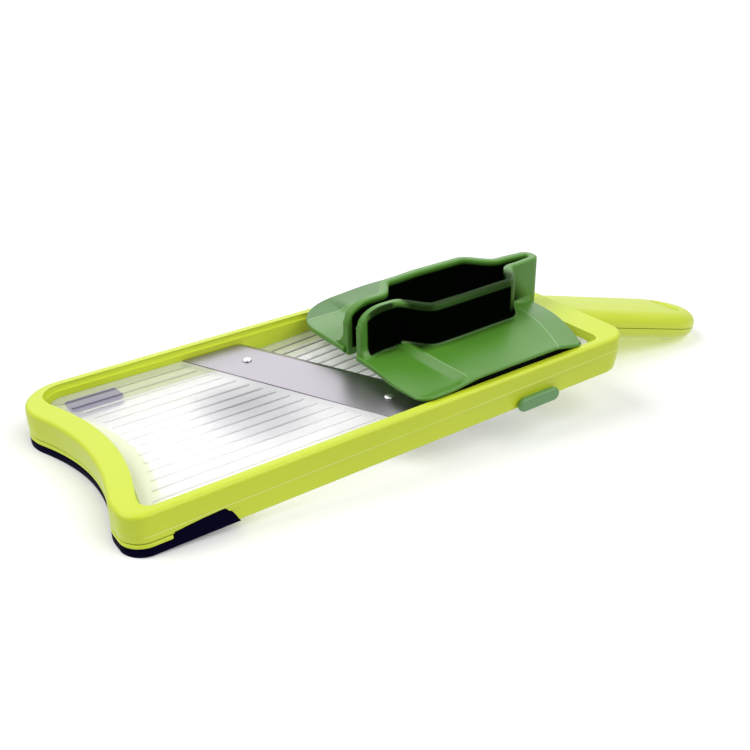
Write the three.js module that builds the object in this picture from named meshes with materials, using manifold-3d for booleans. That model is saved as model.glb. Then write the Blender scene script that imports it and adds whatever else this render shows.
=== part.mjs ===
// Handheld mandoline slicer, in millimetres, standing on its front foot and the tip of its handle.
// It is modelled level first: +X runs from the hollowed front edge to the handle, +Y is the far side,
// and z = 0 is the top of the frame's rim. A last group tips it back onto the surface it stands on.
import * as THREE from 'three';
import { mergeVertices } from 'three/addons/utils/BufferGeometryUtils.js';
import Module from 'manifold-3d';

const wasm = await Module();
wasm.setup();

// Gaps and overruns
const restGap = 0.3;
const overrun = 1;
const samePoint = 0.001;
const mergeDistance = 0.0001;

// Steps along curves
const cornerSteps = 6;
const frontCornerSteps = 9;
const hollowSteps = 14;
const roundSteps = 8;
const bowSteps = 16;
const nearCornerSteps = 5;
const chuteSteps = 7;
const tipSteps = 14;
const barSides = 16;
const wedgeFootSides = 20;
const ribArcSides = 96;
const dotSides = 8;
const dotRings = 6;
const bevelSteps = 3;
const thinBevelSteps = 2;
const handleBevelSteps = 4;
const fullShare = 1;

// Frame
const frameLength = 246.5;
const frameWidth = 114;
const frameHeight = 17;
const notchDepth = 5.5;
const frontRadius = 16;
const rearRadius = 10;
const rimEdge = 1.2;
const rimWidth = 4.3;
const frontBezel = 11;
const rearBezel = 15.5;
const innerFrontRadius = 6.5;
const innerRearRadius = 5;
const stepDrop = 2.1;
const stepWidth = 1.8;
const railDepth = 9.6;
const shellWall = 2.8;
const bezelRoof = 3;

// Foot and front band
const footDrop = 0.4;
const footHeight = 3.7;
const footThickness = 5.2;
const footEdge = 1.4;
const footLength = 42.5;
const flareLap = 0.2;
const flareEnd = 38;
const flareRise = 1.5;
const bandHeight = 1.8;
const bandLength = 16.5;
const soleLength = 7;
const handleSole = 0.3;
const footScrewRadius = 0.8;
const footScrewHead = 1.6;
const footScrewHeadHeight = 1.1;
const footScrewRecess = 1.2;
const footScrewBite = 3;

// Front table
const deckDrop = 4.4;
const tableThickness = 3.2;
const shelfWidth = 10;
const ledgeWidth = 2.4;
const ribPitch = 6.3;
const ribWidth = 0.9;
const ribHeight = 0.5;
const ribMargin = 6;
const ribFront = 25.3;
const ribArcRadius = 100;
const ribBorder = 6;
const ribEndGap = 4.5;

// Blade
const bladeSlant = THREE.MathUtils.degToRad(24.2);
const bladeWidth = 27.9;
const bladeThickness = 1;
const bladeFrontShare = 0.39067;
const bladeBevel = 3.2;
const bladeEdge = 0.2;
const bladeDrop = 0.2;
const bladeOverhang = 5;
const rivetSpacing = 66;
const rivetHeadRadius = 1.4;
const rivetHeadHeight = 0.5;
const rivetRadius = 0.8;

// Ramp and its axle
const rampSlope = 0.062;
const rampThickness = 2.5;
const rampRearGap = 1.6;
const rampFrontGap = 1.9;
const rampRearRadius = 6;
const axleRadius = 1.5;
const axleFromRear = 5;
const axleDrop = 7.4;
const axleSeat = 2.4;
const rampAboveAxle = 4.6;
const knuckleRadius = 3;
const knuckleWidth = 7;
const knuckleInset = 10.6;

// Yoke with its two wedges, and the detent spring
const wedgeSlope = 0.21;
const wedgeBehindBlade = 38.1;
const wedgeRise = 1.32;
const wedgeMargin = 1.5;
const wedgeFootRadius = 1.5;
const wedgeFootWidth = 3;
const wedgeWidth = 3.6;
const wedgeInset = 2.1;
const slideForward = 9;
const slideBack = 3;
const yokeShelf = 1.4;
const yokeShelfWidth = 8;
const yokeBarHeight = 2.5;
const yokeBarGap = 1.2;
const yokeNose = 13;
const yokeTail = 10;
const crossBarWidth = 7;
const bossHeight = 3.8;
const springThickness = 0.5;
const springHeight = 2.4;
const springLength = 34;

// Thickness button
const buttonLength = 24;
const buttonHeight = 7;
const buttonThickness = 2.7;
const buttonEdge = 0.5;
const buttonFromRear = 57.5;
const buttonDrop = 13.8;
const neckLength = 8;
const neckHeight = 3.4;
const buttonScrewRadius = 0.7;
const buttonScrewHead = 1.4;
const buttonScrewHeadHeight = 1.1;
const buttonScrewBite = 3;

// Handle
const handleLength = 121.5;
const handleHalfWidth = 19;
const handleRootHalfWidth = 17.5;
const handleDrop = 11.6;
const handleSlope = 0.286;
const handleTopAtFrame = 7.7;
const handleTopAtTip = 7.6;
const handleUnderAtFrame = 8;
const handleUnderAtTip = 6.8;
const handleTopShoulder = 9;
const handleUnderShoulder = 6.5;
const handleShoulderShare = 0.8;
const handleTipLength = 30;
const handleWall = 2.4;
const handleHollowLength = 84;
const handleSeam = 0.4;
const slotFromTip = 21;
const slotLength = 17.5;
const slotWidth = 6.2;
const tangWidth = 22;
const tangThickness = 3;
const tangLength = 82;
const tangInFrame = 8.5;
const tangScrewSpacing = 14;
const tangScrewFromEnd = 4;
const screwRadius = 1.5;
const screwHeadRadius = 2.9;
const screwHeadHeight = 1.8;
const screwRecess = 0.6;
const screwBite = 3;
const bossRadius = 3.4;
const seatRadius = 4.6;
const handleScrewShares = [0.14, 0.38, 0.61];
const handleScrewNames = ['handle_screw_front', 'handle_screw_middle', 'handle_screw_rear'];

// Food holder
const holderFromRear = 15;
const holderLength = 103;
const holderLap = 0.9;
const holderRearBow = 10;
const holderNearCorner = 6;
const holderFarCorner = 28;
const holderChamfer = 2;
const plateThickness = 2;
const edgeHeight = 4.3;
const crownHeight = 5.8;
const crownHalfWidth = 20;
const recessHeight = 0.9;
const recessLength = 22.5;
const recessInset = 10.6;
const rearFallLength = 19.5;
const rearFallSlope = 0.17;
const chuteInset = 2;
const chuteWall = 3;
const chuteFrontHalf = 7.2;
const chuteRearHalf = 6.4;
const chuteWideHalf = 18.1;
const chuteWidenAt = 21.5;
const chuteWidenLength = 11;
const chuteCloseAt = 80.5;
const chuteCloseLength = 12;
const chuteOverhang = 6.5;
const chuteHeight = 24;
const chuteEdge = 0.8;
const chuteShoulderLength = 12.5;
const chuteShoulderDrop = 8;
const dotRadius = 0.7;
const dotPitch = 4.2;
const dotsPerSide = 3;
const dotFromFront = 12;
const dotFromRim = 6.6;
const runnerWidth = 2.3;
const nearRunnerInset = 3;
const farRunnerInset = 20;
const runnerRearInset = 8;

// Places that follow from the sizes
const halfWidth = frameWidth / 2;
const rimInner = halfWidth - rimWidth;
const railInner = rimInner - stepWidth;
const shellInner = halfWidth - shellWall;
const deckHalf = railInner - restGap;
const ribsEachSide = Math.floor((deckHalf - ribMargin) / ribPitch);
const rearInner = frameLength - rearBezel;
const tableBottom = -deckDrop - tableThickness;
const ledgeTop = tableBottom - restGap;
const footBottom = -frameHeight - footDrop;
const footTop = footBottom + footHeight;
const bandBottom = footTop + restGap;
const bandTop = bandBottom + bandHeight;
const flareStart = bandLength - flareLap;
const flareTop = -railDepth - restGap;
const bladeFront = bladeFrontShare * frameLength;
const bladeTop = -deckDrop - bladeDrop;
const bladeBottom = bladeTop - bladeThickness;
const bladeHalf = deckHalf - restGap;
const tableEnd = bladeWidth - bladeOverhang;
const axleX = rearInner - axleFromRear;
const axleZ = -axleDrop;
const wedgeFootX = bladeFront + bladeWidth / Math.cos(bladeSlant) + wedgeBehindBlade;
const wedgeReach = axleX - wedgeFootX;
const rampAngle = Math.atan(rampSlope);
const wedgeOuter = railInner - wedgeInset;
const wedgeInner = wedgeOuter - wedgeWidth;
const yokeShelfTop = -frameHeight + yokeShelf;
const yokeBottom = yokeShelfTop + restGap;
const yokeBarTop = yokeBottom + yokeBarHeight;
const wedgeFootZ = yokeBarTop + wedgeRise;
const rampOverWedge = axleZ + rampAboveAxle - wedgeReach * rampSlope;
const yokeOuter = shellInner - yokeBarGap;
const buttonX = frameLength - buttonFromRear;
const neckZ = yokeBottom + bossHeight / 2;
const handleAngle = Math.atan(handleSlope);
const holderRear = frameLength - holderFromRear;
const holderFront = holderRear - holderLength;
const holderHalfWidth = rimInner + holderLap;
const recessHalfWidth = holderHalfWidth - recessInset;
const chuteFront = holderFront + chuteInset;
const chuteRear = holderRear + chuteOverhang;
const degrees = THREE.MathUtils.RAD2DEG;

// Materials
const lime = new THREE.MeshStandardMaterial({ color: 0xd3e84a, roughness: 0.35, metalness: 0 });
const holderGreen = new THREE.MeshStandardMaterial({ color: 0x4f8a4a, roughness: 0.4, metalness: 0 });
const footRubber = new THREE.MeshStandardMaterial({ color: 0x0a0a22, roughness: 0.7, metalness: 0 });
const clearPlastic = new THREE.MeshStandardMaterial({
  color: 0xe8efe6,
  roughness: 0.1,
  metalness: 0,
  transparent: true,
  opacity: 0.35,
});
const bladeSteel = new THREE.MeshStandardMaterial({ color: 0xcdc9ca, roughness: 0.3, metalness: 1 });
const screwSteel = new THREE.MeshStandardMaterial({ color: 0xb9babd, roughness: 0.35, metalness: 1 });
const darkPlastic = new THREE.MeshStandardMaterial({ color: 0x16201a, roughness: 0.5, metalness: 0 });
const whitePlastic = new THREE.MeshStandardMaterial({ color: 0xe6e8e2, roughness: 0.5, metalness: 0 });

// Turns a three.js geometry into a solid that can be joined and cut.
function toSolid(geometry) {
  const bare = geometry.clone();
  bare.deleteAttribute('normal');
  bare.deleteAttribute('uv');
  const merged = mergeVertices(bare, mergeDistance);
  const mesh = new wasm.Mesh({
    numProp: 3,
    vertProperties: new Float32Array(merged.attributes.position.array),
    triVerts: new Uint32Array(merged.index.array),
  });
  return new wasm.Manifold(mesh);
}

// Gives a joined or cut solid back as a three.js geometry.
function toGeometry(solid) {
  const mesh = solid.getMesh();
  const geometry = new THREE.BufferGeometry();
  geometry.setAttribute('position', new THREE.BufferAttribute(new Float32Array(mesh.vertProperties), 3));
  geometry.setIndex(new THREE.BufferAttribute(new Uint32Array(mesh.triVerts), 1));
  geometry.computeVertexNormals();
  return geometry;
}

function piece(name, solid, material) {
  const mesh = new THREE.Mesh(toGeometry(solid), material);
  mesh.name = name;
  return mesh;
}

// A block between two corners.
function block(x0, x1, y0, y1, z0, z1) {
  const geometry = new THREE.BoxGeometry(x1 - x0, y1 - y0, z1 - z0);
  geometry.translate((x0 + x1) / 2, (y0 + y1) / 2, (z0 + z1) / 2);
  return toSolid(geometry);
}

// Points along an arc, from one angle to another.
function arc(cx, cy, radius, from, to, steps) {
  const points = [];
  for (let step = 0; step <= steps; step += 1) {
    const angle = from + (to - from) * (step / steps);
    points.push([cx + radius * Math.cos(angle), cy + radius * Math.sin(angle)]);
  }
  return points;
}

// A closed outline through points, leaving out any that repeat the one before.
function outline(points) {
  const kept = points.filter(([x, y], index) => {
    const [px, py] = points[(index + points.length - 1) % points.length];
    return Math.hypot(x - px, y - py) > samePoint;
  });
  return new THREE.Shape(kept.map(([x, y]) => new THREE.Vector2(x, y)));
}

// An outline seen from above, raised from z0 to z1, with its edges rounded in by a bevel.
function raisedGeometry(points, z0, z1, bevelSize, bevelHeight, bevelSegments) {
  const geometry = new THREE.ExtrudeGeometry(outline(points), {
    depth: z1 - z0 - 2 * bevelHeight,
    bevelEnabled: bevelSize > 0,
    bevelSize,
    bevelThickness: bevelHeight,
    bevelOffset: -bevelSize,
    bevelSegments,
  });
  geometry.translate(0, 0, z0 + bevelHeight);
  return geometry;
}

function raised(points, z0, z1, bevel = 0, bevelSegments = bevelSteps) {
  return toSolid(raisedGeometry(points, z0, z1, bevel, bevel, bevelSegments));
}

// A side view in X and Z, drawn out across the object from y0 to y1.
function drawnAcross(points, y0, y1, bevel = 0) {
  const geometry = new THREE.ExtrudeGeometry(outline(points), {
    depth: y1 - y0 - 2 * bevel,
    bevelEnabled: bevel > 0,
    bevelSize: bevel,
    bevelThickness: bevel,
    bevelOffset: -bevel,
    bevelSegments: thinBevelSteps,
  });
  geometry.rotateX(Math.PI / 2);
  geometry.translate(0, y1 - bevel, 0);
  return toSolid(geometry);
}

// A section in Y and Z, drawn out along the object from x0 to x1.
function drawnAlong(points, x0, x1) {
  const geometry = new THREE.ExtrudeGeometry(outline(points), { depth: x1 - x0, bevelEnabled: false });
  geometry.rotateX(Math.PI / 2);
  geometry.rotateZ(Math.PI / 2);
  geometry.translate(x0, 0, 0);
  return toSolid(geometry);
}

// A round bar along Z from z0 to z1.
function post(x, y, z0, z1, radius, sides = barSides) {
  const geometry = new THREE.CylinderGeometry(radius, radius, z1 - z0, sides);
  geometry.rotateX(Math.PI / 2);
  geometry.translate(x, y, (z0 + z1) / 2);
  return toSolid(geometry);
}

// A round bar along Y from y0 to y1.
function barAcross(x, z, y0, y1, radius, sides = barSides) {
  const geometry = new THREE.CylinderGeometry(radius, radius, y1 - y0, sides);
  geometry.translate(x, (y0 + y1) / 2, z);
  return toSolid(geometry);
}

// The frame's outline seen from above: straight sides and rear, round corners, and a front edge
// hollowed by an arc that meets the front corners smoothly, so its radius follows from its depth.
function ring(front, rear, half, frontCorner, rearCorner) {
  const cornerY = half - frontCorner;
  const across = notchDepth * notchDepth - 2 * frontCorner * notchDepth + cornerY * cornerY;
  const arcRadius = across / (2 * notchDepth);
  const arcX = front + notchDepth - arcRadius;
  const lean = Math.atan2(cornerY, frontCorner + arcRadius - notchDepth);
  const quarter = Math.PI / 2;
  return [
    ...arc(rear - rearCorner, rearCorner - half, rearCorner, -quarter, 0, cornerSteps),
    ...arc(rear - rearCorner, half - rearCorner, rearCorner, 0, quarter, cornerSteps),
    ...arc(front + frontCorner, cornerY, frontCorner, quarter, Math.PI + lean, frontCornerSteps),
    ...arc(arcX, 0, arcRadius, lean, -lean, hollowSteps),
    ...arc(front + frontCorner, -cornerY, frontCorner, Math.PI - lean, Math.PI + quarter, frontCornerSteps),
  ];
}

function frameOutline(inset) {
  const rearCorner = rearRadius - inset;
  return ring(inset, frameLength - inset, halfWidth - inset, frontRadius - inset, rearCorner);
}

// The opening inside the rim, with its sides and its front moved in.
function openingOutline(sideInset, frontInset, rearInset) {
  const front = frontBezel + frontInset;
  return ring(front, rearInner - rearInset, rimInner - sideInset, innerFrontRadius, innerRearRadius);
}

// A block along the blade: across is measured at right angles to its front edge, towards the handle.
function alongBlade(across0, across1, z0, z1) {
  const geometry = new THREE.BoxGeometry(across1 - across0, 2 * frameLength, z1 - z0);
  geometry.translate((across0 + across1) / 2, 0, (z0 + z1) / 2);
  geometry.rotateZ(bladeSlant);
  geometry.translate(bladeFront, 0, 0);
  return toSolid(geometry);
}

// Joins a list of solids.
function joined(solids) {
  return solids.reduce((whole, solid) => whole.add(solid));
}

// Straight ribs along the object, one pitch apart, from x0 to x1.
function ribs(x0, x1, z0, z1) {
  const bars = [];
  for (let index = -ribsEachSide; index <= ribsEachSide; index += 1) {
    const y = index * ribPitch;
    bars.push(block(x0, x1, y - ribWidth / 2, y + ribWidth / 2, z0, z1));
  }
  return joined(bars);
}

// Side view of the foot: a low strip round the front that rises to a flare up each side.
function footSide(grow) {
  return [
    [-overrun, footBottom - grow],
    [footLength + grow, footBottom - grow],
    [flareEnd + grow, flareTop + grow],
    [flareStart + flareRise - grow, flareTop + grow],
    [flareStart - grow, footTop + grow],
    [-overrun, footTop + grow],
  ];
}

// Side view of the band: a strip round the front with a rounded end on each side.
function bandSide(grow) {
  const radius = bandHeight / 2 + grow;
  const middle = bandBottom + bandHeight / 2;
  return [
    [-overrun, middle - radius],
    ...arc(bandLength - bandHeight / 2, middle, radius, -Math.PI / 2, Math.PI / 2, roundSteps),
    [-overrun, middle + radius],
  ];
}

// The wall all round that the foot and the band are taken from.
function footWall() {
  const outer = raised(frameOutline(0), footBottom, overrun, footEdge);
  return outer.subtract(raised(frameOutline(footThickness), footBottom - overrun, 2 * overrun));
}

// Places of the four screws under the front.
function footScrews() {
  const frontY = halfWidth - frontRadius;
  const frontX = footThickness / 2 + restGap;
  const sideX = (flareStart + footLength) / 2;
  const sideY = halfWidth - footThickness / 2;
  return [
    ['foot_screw_front_near', frontX, -frontY, bandTop],
    ['foot_screw_front_far', frontX, frontY, bandTop],
    ['foot_screw_side_near', sideX, -sideY, flareTop],
    ['foot_screw_side_far', sideX, sideY, flareTop],
  ];
}

// A screw along Z, its head at the lower end, grown all round when it stands for the hole it needs.
function screw(x, y, low, high, sizes, grow) {
  const [head, headHeight, radius] = sizes;
  const cap = post(x, y, low - grow, low + headHeight + grow, head + grow);
  return cap.add(post(x, y, low + headHeight / 2, high + grow, radius + grow));
}

// A foot screw, or the hole for it with the way that its head goes in by.
function footScrewSolid([, x, y, top], grow) {
  const low = footBottom + footScrewRecess;
  const sizes = [footScrewHead, footScrewHeadHeight, footScrewRadius];
  const solid = screw(x, y, low, top + footScrewBite, sizes, grow);
  return grow > 0 ? solid.add(post(x, y, footBottom - overrun, low, footScrewHead + grow)) : solid;
}

function allFootScrews(grow) {
  return joined(footScrews().map((place) => footScrewSolid(place, grow)));
}

// Moves a solid made along the handle's own parting plane to where the handle leaves the frame.
function onHandle(solid) {
  return solid.rotate([0, handleAngle * degrees, 0]).translate([frameLength, 0, -handleDrop]);
}

// The handle's outline along its parting plane, moved in all round.
function handleOutline(inset, start) {
  const tipX = handleLength - handleTipLength;
  const half = handleHalfWidth - inset;
  const tip = arc(0, 0, fullShare, -Math.PI / 2, Math.PI / 2, tipSteps).map(([x, y]) => [
    tipX + x * (handleTipLength - inset),
    y * half,
  ]);
  const root = handleRootHalfWidth - inset;
  return [[start, -root], ...tip, [start, root]];
}

// How far the handle reaches above (side 1) or below (side -1) its parting plane, at a length along it.
function handleHeight(side, along) {
  const start = side > 0 ? handleTopAtFrame : handleUnderAtFrame;
  const end = side > 0 ? handleTopAtTip : handleUnderAtTip;
  return start + ((end - start) * along) / handleLength;
}

// Half of the handle, above or below its parting plane: its edges curve in to a flat crown.
function handleHalf(side, inset) {
  const shoulder = (side > 0 ? handleTopShoulder : handleUnderShoulder) - inset;
  const plan = handleOutline(inset, -2 * shoulder);
  const geometry = raisedGeometry(
    plan,
    -fullShare,
    fullShare,
    shoulder,
    handleShoulderShare,
    handleBevelSteps,
  );
  const position = geometry.attributes.position;
  for (let index = 0; index < position.count; index += 1) {
    const height = handleHeight(side, position.getX(index)) - inset;
    position.setZ(index, position.getZ(index) * height);
  }
  const reach = handleTopAtFrame + handleTopAtTip;
  const gap = (handleSeam + inset) / 2;
  const start = side > 0 ? gap : -reach;
  const end = side > 0 ? reach : -gap;
  return toSolid(geometry).intersect(block(-frameLength, frameLength, -halfWidth, halfWidth, start, end));
}

// Places of the screws along and across the handle.
const frameScrewX = -tangInFrame + tangScrewFromEnd;
const handleScrewPlaces = handleScrewShares.map((share) => share * handleLength);

const barScrew = [screwHeadRadius, screwHeadHeight, screwRadius];

function handleScrewSolid(x, grow) {
  return screw(x, 0, screwRecess - handleHeight(-1, x), tangThickness / 2 + screwBite, barScrew, grow);
}

function tangScrewSolid(y, grow) {
  const low = -tangThickness / 2 - restGap - screwHeadHeight;
  return screw(frameScrewX, y, low, tangThickness / 2 + screwBite, barScrew, grow);
}

function upperFrame() {
  const body = raised(frameOutline(0), -frameHeight, 0, rimEdge);
  const rim = raised(openingOutline(0, 0, 0), -stepDrop, overrun);
  const walls = raised(openingOutline(stepWidth, 0, 0), ledgeTop, -stepDrop + overrun);
  const shelfOutline = openingOutline(stepWidth + ledgeWidth, shelfWidth, 0);
  const shelf = raised(shelfOutline, -frameHeight, ledgeTop + overrun);
  const rampBay = raised(openingOutline(stepWidth, 0, 0), -frameHeight, ledgeTop + overrun);
  const behindTable = alongBlade(tableEnd, frameLength, -frameHeight - overrun, overrun);
  const shell = raised(frameOutline(shellWall), -frameHeight - overrun, -railDepth);
  const rear = frameLength - shellWall;
  const bezel = block(rearInner - overrun, rear, -railInner, railInner, -frameHeight, -bezelRoof);
  const band = drawnAcross(bandSide(restGap), -frameWidth, frameWidth);
  const foot = drawnAcross(footSide(restGap), -frameWidth, frameWidth);
  const axle = barAcross(axleX, axleZ, -railInner - axleSeat, railInner + axleSeat, axleRadius + restGap);
  const hollow = joined([rim, walls, shelf, rampBay.intersect(behindTable), shell, bezel]);
  const holes = joined([band, foot, axle, allFootScrews(restGap), tangWay(), buttonWay()]);
  return body.subtract(hollow).add(tangBosses()).add(yokeShelves()).subtract(holes);
}

// The way through the rear wall for the tang, and the holes for its two screws.
function tangWay() {
  const reach = tangInFrame + restGap;
  const half = tangWidth / 2 + restGap;
  const high = tangThickness / 2 + restGap;
  const way = block(-reach, shellWall * 2, -half, half, -high, high);
  const screws = [-tangScrewSpacing / 2, tangScrewSpacing / 2].map((y) => tangScrewSolid(y, restGap));
  return onHandle(joined([way, ...screws]));
}

// Two bosses under the rear of the frame that the tang is screwed up against.
function tangBosses() {
  const low = tangThickness / 2 + restGap;
  const bosses = [-tangScrewSpacing / 2, tangScrewSpacing / 2].map((y) => {
    return post(frameScrewX, y, low, frameHeight, bossRadius);
  });
  const roof = block(rearInner, frameLength, -halfWidth, halfWidth, -frameHeight, -bezelRoof / 2);
  return onHandle(joined(bosses)).intersect(roof);
}

// Shelves inside both side walls that the yoke's bars slide on.
function yokeShelves() {
  const x0 = wedgeFootX - yokeNose - slideForward;
  const x1 = buttonX + yokeTail + slideBack;
  const inner = shellInner - yokeShelfWidth;
  const near = block(x0, x1, -shellInner - shellWall / 2, -inner, -frameHeight, yokeShelfTop);
  const far = block(x0, x1, inner, shellInner + shellWall / 2, -frameHeight, yokeShelfTop);
  return near.add(far);
}

// The slot in the near wall that the button's neck runs in.
function buttonWay() {
  const x0 = buttonX - neckLength / 2 - slideForward - restGap;
  const x1 = buttonX + neckLength / 2 + slideBack + restGap;
  const half = neckHeight / 2 + restGap;
  return block(x0, x1, -halfWidth - overrun, -shellInner + overrun, neckZ - half, neckZ + half);
}

function frontBand() {
  const wall = footWall();
  return drawnAcross(bandSide(0), -frameWidth, frameWidth).intersect(wall).subtract(allFootScrews(restGap));
}

function frontFoot() {
  const wall = footWall();
  return drawnAcross(footSide(0), -frameWidth, frameWidth).intersect(wall).subtract(allFootScrews(restGap));
}

// The clear plate before the blade, stepped down under it.
function frontTable() {
  const surface = -deckDrop - ribHeight;
  const seat = bladeBottom - restGap;
  const plate = raised(openingOutline(stepWidth + restGap, restGap, 0), tableBottom, surface);
  const end = alongBlade(tableEnd, frameLength, -frameHeight, overrun);
  const step = alongBlade(-restGap, frameLength, seat, overrun);
  const ribbed = post(ribFront - ribArcRadius, 0, -frameHeight, overrun, ribArcRadius, ribArcSides);
  const lines = ribs(0, frameLength, surface - ribHeight, -deckDrop).subtract(ribbed);
  const upToBlade = lines.subtract(alongBlade(-ribEndGap, frameLength, -frameHeight, overrun));
  return plate.subtract(end).subtract(step).add(upToBlade).subtract(rivetHoles());
}

function rivetPlaces() {
  const x = bladeFront + bladeWidth / 2 / Math.cos(bladeSlant);
  return [-1, 1].map((side) => {
    const y = (side * rivetSpacing) / 2;
    return [x - y * Math.tan(bladeSlant), y];
  });
}

function rivetHoles() {
  const radius = rivetRadius + restGap;
  return joined(rivetPlaces().map(([x, y]) => post(x, y, -frameHeight, overrun, radius)));
}

// Steel plate with its cutting edge ground from above.
function blade() {
  const section = [
    [0, bladeBottom],
    [bladeWidth, bladeBottom],
    [bladeWidth, bladeBottom + bladeEdge],
    [bladeWidth - bladeBevel, bladeTop],
    [0, bladeTop],
  ];
  const options = { depth: 2 * frameLength, bevelEnabled: false };
  const geometry = new THREE.ExtrudeGeometry(outline(section), options);
  geometry.rotateX(Math.PI / 2);
  geometry.translate(0, frameLength, 0);
  geometry.rotateZ(bladeSlant);
  geometry.translate(bladeFront, 0, 0);
  const between = block(0, frameLength, -bladeHalf, bladeHalf, -frameHeight, overrun);
  return toSolid(geometry).intersect(between).subtract(rivetHoles());
}

function rivet([x, y]) {
  const top = bladeTop + restGap;
  const bottom = tableBottom - restGap;
  const head = post(x, y, top, top + rivetHeadHeight, rivetHeadRadius);
  const foot = post(x, y, bottom - rivetHeadHeight, bottom, rivetHeadRadius);
  const shank = post(x, y, bottom - rivetHeadHeight / 2, top + rivetHeadHeight / 2, rivetRadius);
  return joined([head, foot, shank]);
}

// The clear plate behind the blade, which turns on its axle and has a foot over each wedge.
function ramp() {
  const top = axleZ + rampAboveAxle;
  const rear = rearInner - rampRearGap;
  const corner = rampRearRadius;
  const plan = [
    ...arc(rear - corner, corner - deckHalf, corner, -Math.PI / 2, 0, cornerSteps),
    ...arc(rear - corner, deckHalf - corner, corner, 0, Math.PI / 2, cornerSteps),
    [frontBezel, deckHalf],
    [frontBezel, -deckHalf],
  ];
  const plate = raised(plan, top - rampThickness, top - ribHeight);
  const lines = ribs(frontBezel, rear - ribBorder, top - 2 * ribHeight, top);
  const tilted = plate.add(lines).translate([-axleX, 0, -axleZ]).rotate([0, -rampAngle * degrees, 0]);
  const placed = tilted.translate([axleX, 0, axleZ]);
  const front = alongBlade(-frameLength, bladeWidth + rampFrontGap, -frameWidth, frameWidth);
  const parts = [placed.subtract(front)];
  [-1, 1].forEach((side) => {
    const y = side * (deckHalf - knuckleInset);
    const bottom = top - rampThickness + ribHeight;
    const y0 = y - knuckleWidth / 2;
    const y1 = y + knuckleWidth / 2;
    parts.push(barAcross(axleX, axleZ, y0, y1, knuckleRadius));
    parts.push(block(axleX - knuckleRadius, axleX + knuckleRadius, y0, y1, axleZ, bottom));
    const middle = (side * (wedgeOuter + wedgeInner)) / 2;
    const z = wedgeFootZ + wedgeFootRadius;
    const w0 = middle - wedgeFootWidth / 2;
    const w1 = middle + wedgeFootWidth / 2;
    parts.push(barAcross(wedgeFootX, z, w0, w1, wedgeFootRadius, wedgeFootSides));
    const high = rampOverWedge - rampThickness + ribHeight;
    parts.push(block(wedgeFootX - wedgeFootRadius, wedgeFootX + wedgeFootRadius, w0, w1, z, high));
  });
  return joined(parts).subtract(barAcross(axleX, axleZ, -frameWidth, frameWidth, axleRadius + restGap));
}

function rampAxle() {
  const half = railInner + axleSeat - restGap;
  return barAcross(axleX, axleZ, -half, half, axleRadius);
}

// Two bars with a wedge each, joined across, with a boss at the near side for the button.
function thicknessYoke() {
  const x0 = wedgeFootX - yokeNose;
  const x1 = buttonX + yokeTail;
  const rest = wedgeFootZ - restGap;
  const back = slideForward + wedgeMargin;
  const ahead = slideBack + wedgeMargin;
  const wedge = [
    [wedgeFootX - ahead, yokeBarTop - ribHeight],
    [wedgeFootX + back, yokeBarTop - ribHeight],
    [wedgeFootX + back, rest + back * wedgeSlope],
    [wedgeFootX - ahead, rest - ahead * wedgeSlope],
  ];
  const parts = [
    block(x0, x0 + crossBarWidth, -wedgeOuter, wedgeOuter, yokeBottom, yokeBarTop),
    block(x1 - crossBarWidth, x1, -wedgeOuter, wedgeOuter, yokeBottom, yokeBarTop),
  ];
  [-1, 1].forEach((side) => {
    const middle = (side * (yokeOuter + wedgeInner)) / 2;
    const half = (yokeOuter - wedgeInner) / 2;
    parts.push(block(x0, x1, middle - half, middle + half, yokeBottom, yokeBarTop));
    const line = (side * (wedgeOuter + wedgeInner)) / 2;
    parts.push(drawnAcross(wedge, line - wedgeWidth / 2, line + wedgeWidth / 2));
  });
  const bossHalf = neckLength / 2 + restGap;
  const bossTop = yokeBottom + bossHeight;
  parts.push(block(buttonX - bossHalf, buttonX + bossHalf, -yokeOuter, -wedgeInner, yokeBottom, bossTop));
  return joined(parts).subtract(buttonScrewSolid(restGap));
}

// The screw that runs outwards from the yoke into the button's neck.
function buttonScrewSolid(grow) {
  const headIn = -wedgeInner;
  const headOut = headIn - buttonScrewHeadHeight;
  const end = -shellInner - buttonScrewBite;
  const head = barAcross(buttonX, neckZ, headOut - grow, headIn + grow, buttonScrewHead + grow);
  return head.add(barAcross(buttonX, neckZ, end - grow, headIn - grow / 2, buttonScrewRadius + grow));
}

function thicknessButton() {
  const end = buttonHeight / 2;
  const middle = buttonLength / 2 - end;
  const quarter = Math.PI / 2;
  const face = [
    ...arc(buttonX - middle, -buttonDrop, end, quarter, 3 * quarter, roundSteps),
    ...arc(buttonX + middle, -buttonDrop, end, -quarter, quarter, roundSteps),
  ];
  const outer = -halfWidth - restGap;
  const tab = drawnAcross(face, outer - buttonThickness, outer, buttonEdge);
  const x0 = buttonX - neckLength / 2;
  const x1 = buttonX + neckLength / 2;
  const inner = -yokeOuter - restGap;
  const low = neckZ - neckHeight / 2;
  const neck = block(x0, x1, outer - buttonEdge, inner, low, low + neckHeight);
  return tab.add(neck).subtract(buttonScrewSolid(restGap));
}

// A leaf between the far bar of the yoke and the far wall.
function detentSpring() {
  const x = (wedgeFootX + buttonX) / 2;
  const middle = (yokeOuter + shellInner) / 2;
  const low = yokeShelfTop + restGap;
  const half = springThickness / 2;
  const reach = springLength / 2;
  return block(x - reach, x + reach, middle - half, middle + half, low, low + springHeight);
}

// The slot across the handle near its tip.
function hangSlot() {
  const x = handleLength - slotFromTip;
  const end = slotWidth / 2;
  const reach = slotLength / 2 - end;
  const far = arc(x, reach, end, 0, Math.PI, roundSteps);
  const near = arc(x, -reach, end, Math.PI, 2 * Math.PI, roundSteps);
  return raised([...far, ...near], -frameHeight, frameHeight);
}

// Leaves out what would run into the frame.
function clearOfFrame(solid) {
  const behind = block(0, frameLength + restGap, -halfWidth, halfWidth, -frameWidth, frameWidth);
  return onHandle(solid).subtract(behind);
}

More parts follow.
